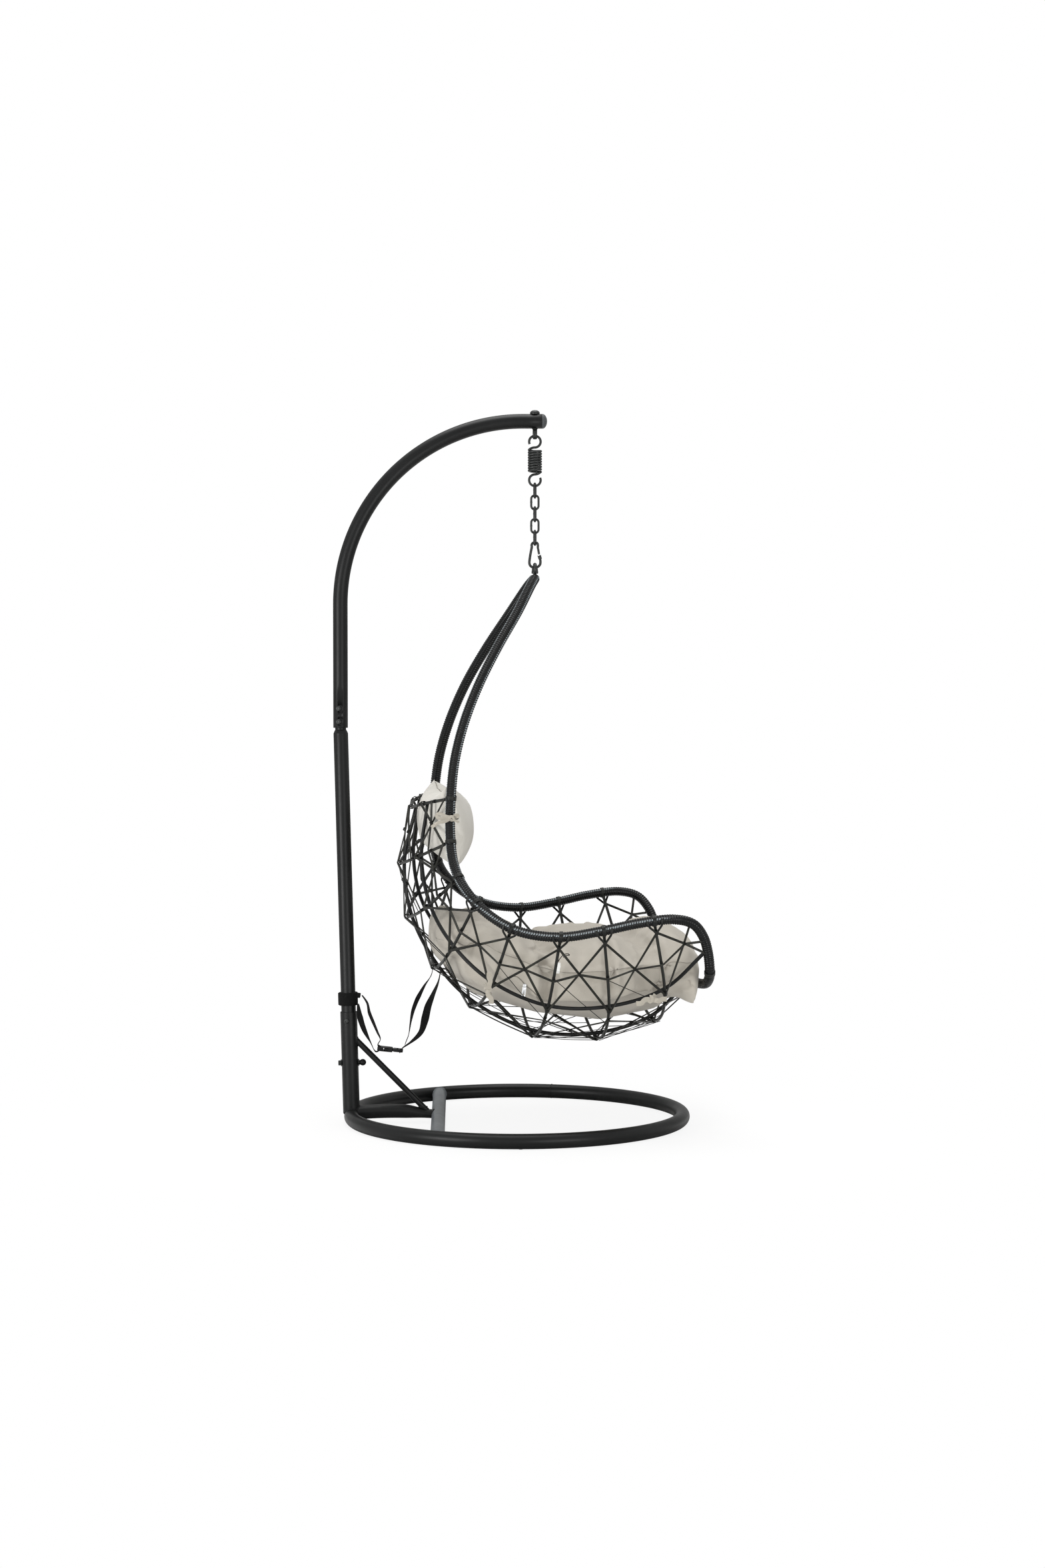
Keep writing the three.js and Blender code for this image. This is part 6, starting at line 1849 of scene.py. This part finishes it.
@dataclass
class SeatCushion:
    """The thick seat cushion that lies in the basket, sewn down along three lines."""

    back: float = -292
    front: float = 412
    inset: float = 25
    flare: float = 0.62
    tufts: tuple[float, ...] = (-196, -4, 262)
    tuft_depth: float = 28
    tuft_width: float = 20
    side_pinch: float = 0.06
    sag_rows: Pairs = ((-300, 0), (-176, 12), (-8, 45), (120, 36), (200, 28), (328, 12), (430, 0))
    keel_rows: Pairs = (*((keel[0], keel[1]) for _, _, _, keel in HOOP_ROWS[2:]), (430, 372))
    wide_rows: Pairs = (*((bilge[0], bilge[1]) for _, _, bilge, _ in HOOP_ROWS[2:]), (405, 405))
    bilge_rows: Pairs = (*((bilge[0], bilge[2]) for _, _, bilge, _ in HOOP_ROWS[2:]), (405, 448))
    top_rows: Pairs = (
        (-300, 588), (-285, 610), (-250, 628), (-200, 622), (-150, 590), (-105, 558), (-50, 536), (0, 527),
        (70, 525), (131, 527), (190, 527), (250, 538), (290, 554), (345, 574), (385, 574), (420, 545))
    seam_rows: Pairs = (
        (-300, 520), (-200, 520), (-125, 500), (-60, 478), (45, 456), (142, 460), (221, 476), (410, 480))
    folds: tuple[Fold, ...] = (
        Fold(((-239, 640), (-213, 569), (-222, 534), (-245, 500)), 14, 12),
        Fold(((-268, 522), (-233, 482), (-181, 435), (-150, 416)), 13, 11),
        Fold(((-43, 548), (-56, 508), (-70, 476)), 5, 14),
        Fold(((-22, 468), (-4, 446), (6, 424), (0, 388)), 10, 12),
        Fold(((155, 550), (159, 493), (153, 452), (158, 405)), 15, 11),
        Fold(((288, 530), (294, 463), (290, 405)), 11, 11),
        Fold(((345, 560), (375, 524), (404, 500)), 11, 10),
        Fold(((296, 408), (340, 430), (372, 448)), 7, 10),
        Fold(((300, 384), (340, 403), (366, 418)), 6, 9),
        Fold(((-120, 540), (-100, 500), (-112, 466)), 5, 16),
        Fold(((60, 540), (82, 500), (74, 470)), 6, 16),
        Fold(((225, 552), (214, 520), (228, 488)), 6, 15),
    )
    tag_rows: tuple[Place, ...] = (
        (14, -421, 480), (13, -428, 473), (11, -431, 465), (10, -431, 456), (11, -429, 456), (12, -429, 465),
        (14.5, -426, 473))
    loop_rows: tuple[Place, ...] = (
        (15, -420, 482), (19, -432, 492), (27, -438, 501), (38, -438, 504), (43, -434, 500), (36, -432, 499),
        (27, -428, 494))
    filling: Filling = field(default_factory=lambda: Filling(0.0092, 3.2, 0.03, 0.016, 0.018))

    def underside(self, x: float, y: float) -> float:
        """Height of the underside, which follows the cage."""
        tables = (self.keel_rows, self.sag_rows, self.wide_rows, self.bilge_rows)
        keel, sag, wide, high = (float(read(rows, x)) for rows in tables)
        keel += sag
        share = abs(y) / wide
        if share < 1:
            cage, slope = keel + (high - keel) * share**2.2, 2.2 * (high - keel) * share**1.2 / wide
        else:
            cage, slope = high + (abs(y) - wide) / self.flare, 1 / self.flare
        return cage + self.inset * math.hypot(1, slope)

    def seam_width(self, x: float) -> float:
        """Half width at the boxing seam."""
        cage = float(
            read(self.wide_rows, x) + (read(self.seam_rows, x) - read(self.bilge_rows, x)) * self.flare)
        width = 1.0
        if x < self.back + 60:
            width = 0.45 + 0.55 * math.sqrt(max(1 - ((self.back + 60 - x) / 62) ** 2, 0))
        elif x > self.front - 70:
            width = 0.8 + 0.2 * math.sqrt(max(1 - ((x - self.front + 70) / 74) ** 2, 0))
        return (cage - self.inset * math.hypot(1, self.flare)) * width

    def valley(self, x: float) -> float:
        """How deep in a sewn line a place lies, from 0 to 1."""
        return max(math.exp(-(((x - t) / self.tuft_width) ** 2)) for t in self.tufts)

    def form(self, share: float, angle: float) -> tuple[float, float, float]:
        """The cover's point at a share along the seat and an angle round it."""
        x = self.back + (self.front - self.back) * share
        half, line = self.seam_width(x), float(read(self.seam_rows, x))
        y = half * math.cos(angle)
        side = abs(math.cos(angle))
        if math.sin(angle) > 0:
            crown = math.sqrt(max(1 - side**4, 0))
            z = line + (
                float(read(self.top_rows,
                x)) - line) * crown - self.tuft_depth * self.valley(x) * (1 - side**6)
        else:
            z = min(self.underside(x, y), line - 2 * abs(math.sin(angle)))
        corner = math.exp(-(((x - 390) / 42) ** 2) - ((abs(y) - 325) / 60) ** 2)
        middle = line - 20
        ends = [0.74, 0.94, 1] if share < 0.5 else [0.84, 0.97, 1]
        fullness = float(np.interp(min(share, 1 - share) * 19, [0, 1, 2], ends))
        drawn = 1 - self.side_pinch * self.valley(x) * (1 if z > line - 70 else 0.4)
        if z < middle and share > 0.5:
            end = min(max((x - 335) / 75, 0), 1)
            return x - 0.3 * (middle - z) * end, y * drawn, z - 72 * corner
        return x, y * drawn, middle + (z - middle) * fullness

    def held(self, places: Rows) -> Rows:
        """The points that are sewn down: the three lines across the top and down the sides."""
        near = np.min([np.abs(places[:, 0] - t) for t in self.tufts], axis=0) < 6
        line = read(self.seam_rows, places[:, 0])
        return near & (places[:, 2] > line + 12)

    def build(self) -> None:
        """Builds the cushion, then its seam and trims."""
        cover = formed("seat_cover", 128, 96, self.form)
        cover = self.filling.fill(cover, self.held)
        for fold in self.folds:
            fold.press(cover)
        dressed(cover, Finish.CLOTH, Body.BASKET, "seat_cushion")
        surface = Cover(cover)
        boxing = seam("seat_seams", surface, self.edge(), 0.8, 0.1, True)
        dressed(boxing, Finish.SEAM, Body.BASKET)
        self.build_trims(surface)

    def edge(self, count: int = 260) -> Rows:
        """Points all round the cushion at its boxing seam."""
        rows = []
        for i in range(count):
            share = (1 - math.cos(TAU * i / count)) / 2
            way = 1 if i < count / 2 else -1
            x = self.back - 10 + (self.front - self.back + 20) * share
            inner = min(max(x, self.back + 2), self.front - 2)
            rows.append((x, way * (self.seam_width(inner) + 12), float(read(self.seam_rows, inner))))
        return np.array(rows)

    def build_trims(self, surface: Cover) -> None:
        """The zip with its pull, the blank tag, the tie loops and the knotted ties."""
        line = [(x, -420, float(read(self.seam_rows, x)) - 96) for x in np.linspace(-150, -20, 30)]
        zip_line = seam("zip", surface, np.array(line), 1.5, 0.2)
        dressed(zip_line, Finish.SEAM, Body.BASKET)
        (top,), _ = surface.laid(in_basket([(-79, -400, 394)]), 2.5)
        frame = frame_at(top) @ Matrix.Rotation(math.radians(8), 4, "Y")
        plate = slab("pull", (10.5, 1.8, 25), frame @ frame_at((0, -0.004, -0.016)), 0.8)
        slider = slab("slider", (9, 4.4, 9), frame, 1.2)
        bore = frame @ frame_at((0, -0.004, -0.023)) @ Matrix.Rotation(math.pi / 2, 4, "X")
        eye = lathe("pull_hole", [(2.6, -3), (2.6, 3)], bore, 20)
        dressed(joined([cut(plate, eye), slider], "zip_pull"), Finish.BRIGHT, Body.BASKET)
        tag = ribbon("care_tag", self.tag_rows, Y, 14, 0.5)
        dressed(tag, Finish.LABEL, Body.BASKET)
        loop = Smooth(np.array(self.loop_rows)).even(1.5)
        dressed(
            wire("hang_loop", in_basket(loop), 1.1 * MM, 8), Finish.WEBBING, Body.BASKET, slot=Slot.CLOTH)
        self.build_tie("rear_tie", (-166, -392, 410), 24)
        self.build_tie("front_tie", (253, -440, 384), -62)

    def build_tie(self, name: str, place: Place, slope: float) -> None:
        """A knotted tie round the bilge rod: a wrapped knot and two loose tails."""
        x, y, z = place
        turn = math.radians(slope)
        cos, sin = math.cos(turn), math.sin(turn)
        bend = lambda a, out, b: (x + a * cos - b * sin, y - out, z + a * sin + b * cos)
        hold = [
            bend(-3, -12, 12), bend(-1, 0, 13), bend(0, 6, 8), bend(0, 7, 0), bend(0, 6, -8),
            bend(1, 0, -12), bend(2, -10, -12)]
        knot = [
            bend(-7, 5, 2), bend(-5, 9, 5), bend(0, 10, 5), bend(5, 9, 1), bend(5, 8, -4), bend(0, 10, -5),
            bend(-6, 8, -3)]
        first = [bend(2, 8, 2), bend(8, 9, 10), bend(14, 10, 18), bend(15, 9, 28), bend(20, 8, 38)]
        second = [bend(-2, 8, -3), bend(-6, 9, -14), bend(-3, 10, -26), bend(-8, 8, -38)]
        parts = [
            ribbon("tie", rows, Y, width, 1.2) for rows,
            width in ((hold, 12), (knot, 9), (first, 13), (second, 13))]
        dressed(joined(parts, name), Finish.TIE, Body.BASKET)


@dataclass
class HeadPillow:
    """The head pillow, tied to both side tubes."""

    centre: Pair = (-247, 826)
    half_width: float = 262
    half_height: float = 118
    half_depth: float = 65
    lean: float = math.radians(6)
    filling: Filling = field(default_factory=lambda: Filling(0.006, 4, 0.03, 0.008, 0.024))

    def form(self, share: float, angle: float) -> tuple[float, float, float]:
        """The cover's point at a share across the pillow and an angle round it."""
        way = 2 * share - 1
        fade = max(1 - abs(way) ** 2.6, 0)
        thick = self.half_depth * (0.12 + 0.88 * math.sqrt(fade))
        tall = self.half_height * (0.9 + 0.1 * way**2)
        across = thick * math.cos(angle) * abs(math.cos(angle)) ** 0.15
        up = tall * math.sin(angle)
        back = -math.sin(self.lean) * up + math.cos(self.lean) * across
        rise = math.cos(self.lean) * up + math.sin(self.lean) * across
        return self.centre[0] + back, way * self.half_width, self.centre[1] + rise

    def build(self) -> None:
        """Builds the pillow, its edge seam and its ties."""
        cover = formed("pillow_cover", 96, 72, self.form)
        cover = self.filling.fill(cover, lambda places: np.zeros(len(places), bool))
        # the pillow's cloth is painted lighter than the seat's, as painted light
        dressed(cover, Finish.PILLOW, Body.BASKET, "head_pillow")
        surface = Cover(cover)
        shares = np.linspace(0.02, 0.98, 110)
        rows = [self.form(t, math.pi / 2) for t in shares] + [
            self.form(t, -math.pi / 2) for t in shares[::-1]]
        edge = seam("pillow_seam", surface, np.array(rows), 1.1, 0.3, True)
        dressed(edge, Finish.SEAM, Body.BASKET)
        for side in Side:
            self.build_bow(side)

    def build_bow(self, side: Side) -> None:
        """A bow tied round a side tube: the band, two loops and two tails."""
        s = side.value
        x, y, z = -256, s * 306, 852
        band = [
            (x + 17.5 * math.cos(a), y + s * 17.5 * math.sin(a), z + 3 * math.sin(a))
            for a in np.linspace(-2.2, 3.6, 16)]
        out = y + s * 19
        right = [
            (x, out, z), (x + 9, out + s * 3, z + 7), (x + 17, out + s * 3, z + 9), (x + 18, out + s, z + 4),
            (x + 8, out, z + 1)]
        left = [
            (x, out, z), (x - 16, out + s * 4, z + 6), (x - 34, out + s * 5, z + 12),
            (x - 38, out + s * 3, z + 4), (x - 20, out + s, z - 2), (x - 3, out, z)]
        tails = [
            [
                (x, out, z), (x - 16, out + s * 2, z - 8), (x - 34, out + s * 3, z - 12),
                (x - 52, out + s * 2, z - 24)],
            [
                (x, out, z), (x + 9, out + s * 2, z - 6), (x + 16, out + s * 3, z - 9),
                (x + 20, out + s * 2, z - 12)],]
        knot = [
            (x - 5, out, z - 3), (x - 2, out + s * 5, z + 4), (x + 4, out + s * 5, z + 3),
            (x + 5, out + s * 2, z - 5), (x - 2, out + s * 5, z - 5)]
        up = np.array([0.3, 1, 0.2])
        widths = ((band, 10), (right, 7), (left, 9), (tails[0], 9), (tails[1], 7), (knot, 7))
        parts = [ribbon("loop", rows, up, width, 1.2) for rows, width in widths]
        dressed(joined(parts, f"pillow_bow_{side.name.lower()}"), Finish.TIE, Body.BASKET)


# ------------------------------------------------------------------ strap
@dataclass
class SafetyStrap:
    """The webbing from the pole to the basket's back rib, with its collar and side-release buckle."""

    side: float = -24
    start: Pair = (72, 208)
    tilt: float = math.radians(6)
    width: float = 24
    thick: float = 1.8
    tongue_start: float = 43.3
    tongue: float = 27
    pole_anchor: float = 0.351  # heights in metres, one for each half of the strap
    basket_anchor: float = 0.451
    down: tuple[Place, ...] = (
        (30, -6, 351, 0), (44, -10, 330, 8), (50, -16, 304, 16), (60, -21, 280, 14), (72, -24, 252, 8),
        (80, -24, 232, 0))
    back_up: tuple[Place, ...] = (
        (53, -25, 224, 10), (37, -27, 256, 35), (25, -28, 292, 45), (19, -25, 330, 15))
    rise: tuple[Place, ...] = (
        (160, -27, 222, 5), (190, -38, 252, 30), (203, -52, 292, 60), (211, -66, 325, 50),
        (225, -82, 360, 25), (241, -98, 402, 5))
    fall: tuple[Place, ...] = (
        (220, -98, 415, 0), (202, -90, 387, 15), (185, -78, 354, 30), (172, -64, 320, 25),
        (164, -50, 283, 10), (158, -36, 247, 0), (149, -26, 222, 0))

    def build(self, stand: Stand, cage: Cage) -> None:
        """Builds collar, webbing and buckle."""
        self.build_collar(stand)
        housing, tongue = self.build_buckle()
        bend = self.rows((0, 8.8), (4.2, 7.2), (6.5, 3), (6.5, -3), (4.2, -7.2), (-4, -9.8))
        pole = self.webbing("pole_webbing", [*self.down, *bend, *self.back_up])
        dressed(pole, Finish.WEBBING, Body.STAND, "pole_strap")
        slot = self.tongue_start + self.tongue * 0.8
        bend = self.rows((slot - 3, -6.3), (slot, -2), (slot + 0.6, 2.5), (slot + 5, 8.8))
        rib = next(p for p in cage.hoops[3].curve.spans(400) if p[1] < -82)
        centre = in_basket(rib) / MM
        radius = cage.rib + 5.2
        round_rib = [
            centre + radius * (math.cos(a) * X + math.sin(a) * Z) for a in np.radians((20, 65, 115, 160))]
        loop = [(*place, 0) for place in round_rib]
        seat = self.webbing("basket_webbing", [*bend, *self.rise, *loop, *self.fall])
        dressed(seat, Finish.WEBBING, Body.BASKET, "basket_strap")
        anchors = (self.pole_anchor, self.basket_anchor) * 2
        for piece, anchor in zip((pole, seat, housing, tongue), anchors):
            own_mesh(piece)

    def frame(self) -> Matrix:
        """The buckle's frame, with X along it."""
        return Matrix.Translation(
            Vector((self.start[0], self.side, self.start[1])) * MM) @ Matrix.Rotation(self.tilt, 4, "Y")

    def rows(self, *pairs: tuple[float, float]) -> list[tuple[float, ...]]:
        """Rows of the strap's list from places in the buckle's frame."""
        return [(*(self.frame() @ Vector((x * MM, 0, z * MM)) / MM), 0) for x, z in pairs]

    def webbing(self, name: str, rows: Sequence[Place]) -> Piece:
        """Webbing through rows of x, y, z and the turn of its flat side in degrees."""
        table = np.array(rows, float)
        per_row = 10
        path = Smooth(table[:, :3]).spans(per_row * (len(rows) - 1))
        along = unit(np.gradient(path, axis=0))
        flat = unit(np.cross(along, Y))
        turn = np.radians(
            np.interp(np.arange(len(path)) / per_row, np.arange(len(rows)), table[:, 3]))[:, None]
        up = flat * np.cos(turn) + np.cross(along, flat) * np.sin(turn)
        return smoothed(
            swept(name, path * MM, up, oval(self.width / 2 * MM, self.thick / 2 * MM, 14, 5)), 60)

    def build_collar(self, stand: Stand) -> None:
        """The band round the pole: two layers of webbing and a lug."""
        heart = stand.on_pole(324)
        inner = 20.3
        section = [(0, 0.6), (1.2, 0), (5.2, 0), (6, 1), (6.1, 17), (6, 34), (5.2, 35), (1.2, 35), (0, 34.4)]
        band = lathe("band", [(inner + out, height) for out, height in section], heart, 72)
        turn = np.radians(np.linspace(120, 330, 60))
        path = np.stack([27.0 * np.cos(turn), 27.0 * np.sin(turn), np.full(60, 17.5)], 1) * MM
        flap = swept("flap", path, unit(path * (1, 1, 0)), oval(16.2 * MM, 0.9 * MM, 12, 5))
        flap.data.transform(heart)
        outer = frame_at(stand.axis(351) + (0.0285, -0.004, 0)) @ Matrix.Rotation(math.radians(8), 4, "Y")
        lug = slab("lug", (11, 25, 12), outer, 2.2)
        dressed(
            joined([band, smoothed(flap), lug], "pole_collar"), Finish.WEBBING, Body.STAND, "strap_collar")

    def build_buckle(self) -> tuple[Piece, Piece]:
        """The side-release buckle: a housing with side windows and a tongue with three prongs."""
        at = lambda x, y=0.0, z=0.0: frame_at((x * MM, y * MM, z * MM))
        shell = slab("buckle_housing", (42, 33, 12), at(21), 2.6)
        tools = [slab("pocket", (32, 28, 7), at(27)), slab("slot", (5, 26, 16), at(6.5), 0.8)]
        tools += [slab("window", (14, 8, 7.6), at(23, s * 16.5), 1.5) for s in (-1, 1)]
        shell = cut(shell, *tools)
        ridges = [slab("ridge", (1.4, 15, 1), at(28 + 3 * k, 0, z), 0.4) for k in range(3) for z in (6, -6)]
        housing = joined([shell, *ridges], "buckle_housing")
        housing.data.transform(self.frame())
        dressed(smoothed(housing, 30), Finish.PLASTIC, Body.STAND, "buckle_female")

        start, length = self.tongue_start, self.tongue
        head = slab("buckle_tongue", (length, 31, 8), at(start + length / 2), 2.2)
        head = cut(
            head, *[slab("slot", (5, 26, 12), at(start + length * share), 0.8) for share in (0.42, 0.8)])
        prongs = [slab("prong", (26, 4.4, 6.4), at(start - 12, y), 1.0) for y in (-10, 0, 10)]
        catches = [slab("catch", (11, 5, 6.4), at(start - 17, s * 13.2), 1.6) for s in (-1, 1)]
        tongue = joined([head, *prongs, *catches], "buckle_tongue")
        tongue.data.transform(self.frame())
        dressed(smoothed(tongue, 30), Finish.PLASTIC, Body.BASKET, "buckle_male")
        return housing, tongue


# ------------------------------------------------------------------ all of it
def write_sizes(before: tuple[Place, Place]) -> None:
    """Gathers the frame's box and the dressed chair's box into one table, which is not kept."""
    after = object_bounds()
    plain = lambda box: [[float(v) for v in corner] for corner in box]
    {"frame": plain(before), "dressed": plain(after)}


def main() -> None:
    """Loads the frame and builds the studio and the chair, one sub-assembly after another."""
    logging.basicConfig(level=logging.INFO, format="%(name)s: %(message)s")
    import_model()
    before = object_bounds()
    Studio().build()
    stand = Stand()
    stand.build()
    Hanger().build()
    loop = Loop()
    WovenFrame(loop).build()
    cage = Cage(loop)
    cage.build()
    BasketEye().build()
    SeatCushion().build()
    HeadPillow().build()
    SafetyStrap().build(stand, cage)
    write_sizes(before)


if __name__ == "__main__":
    main()
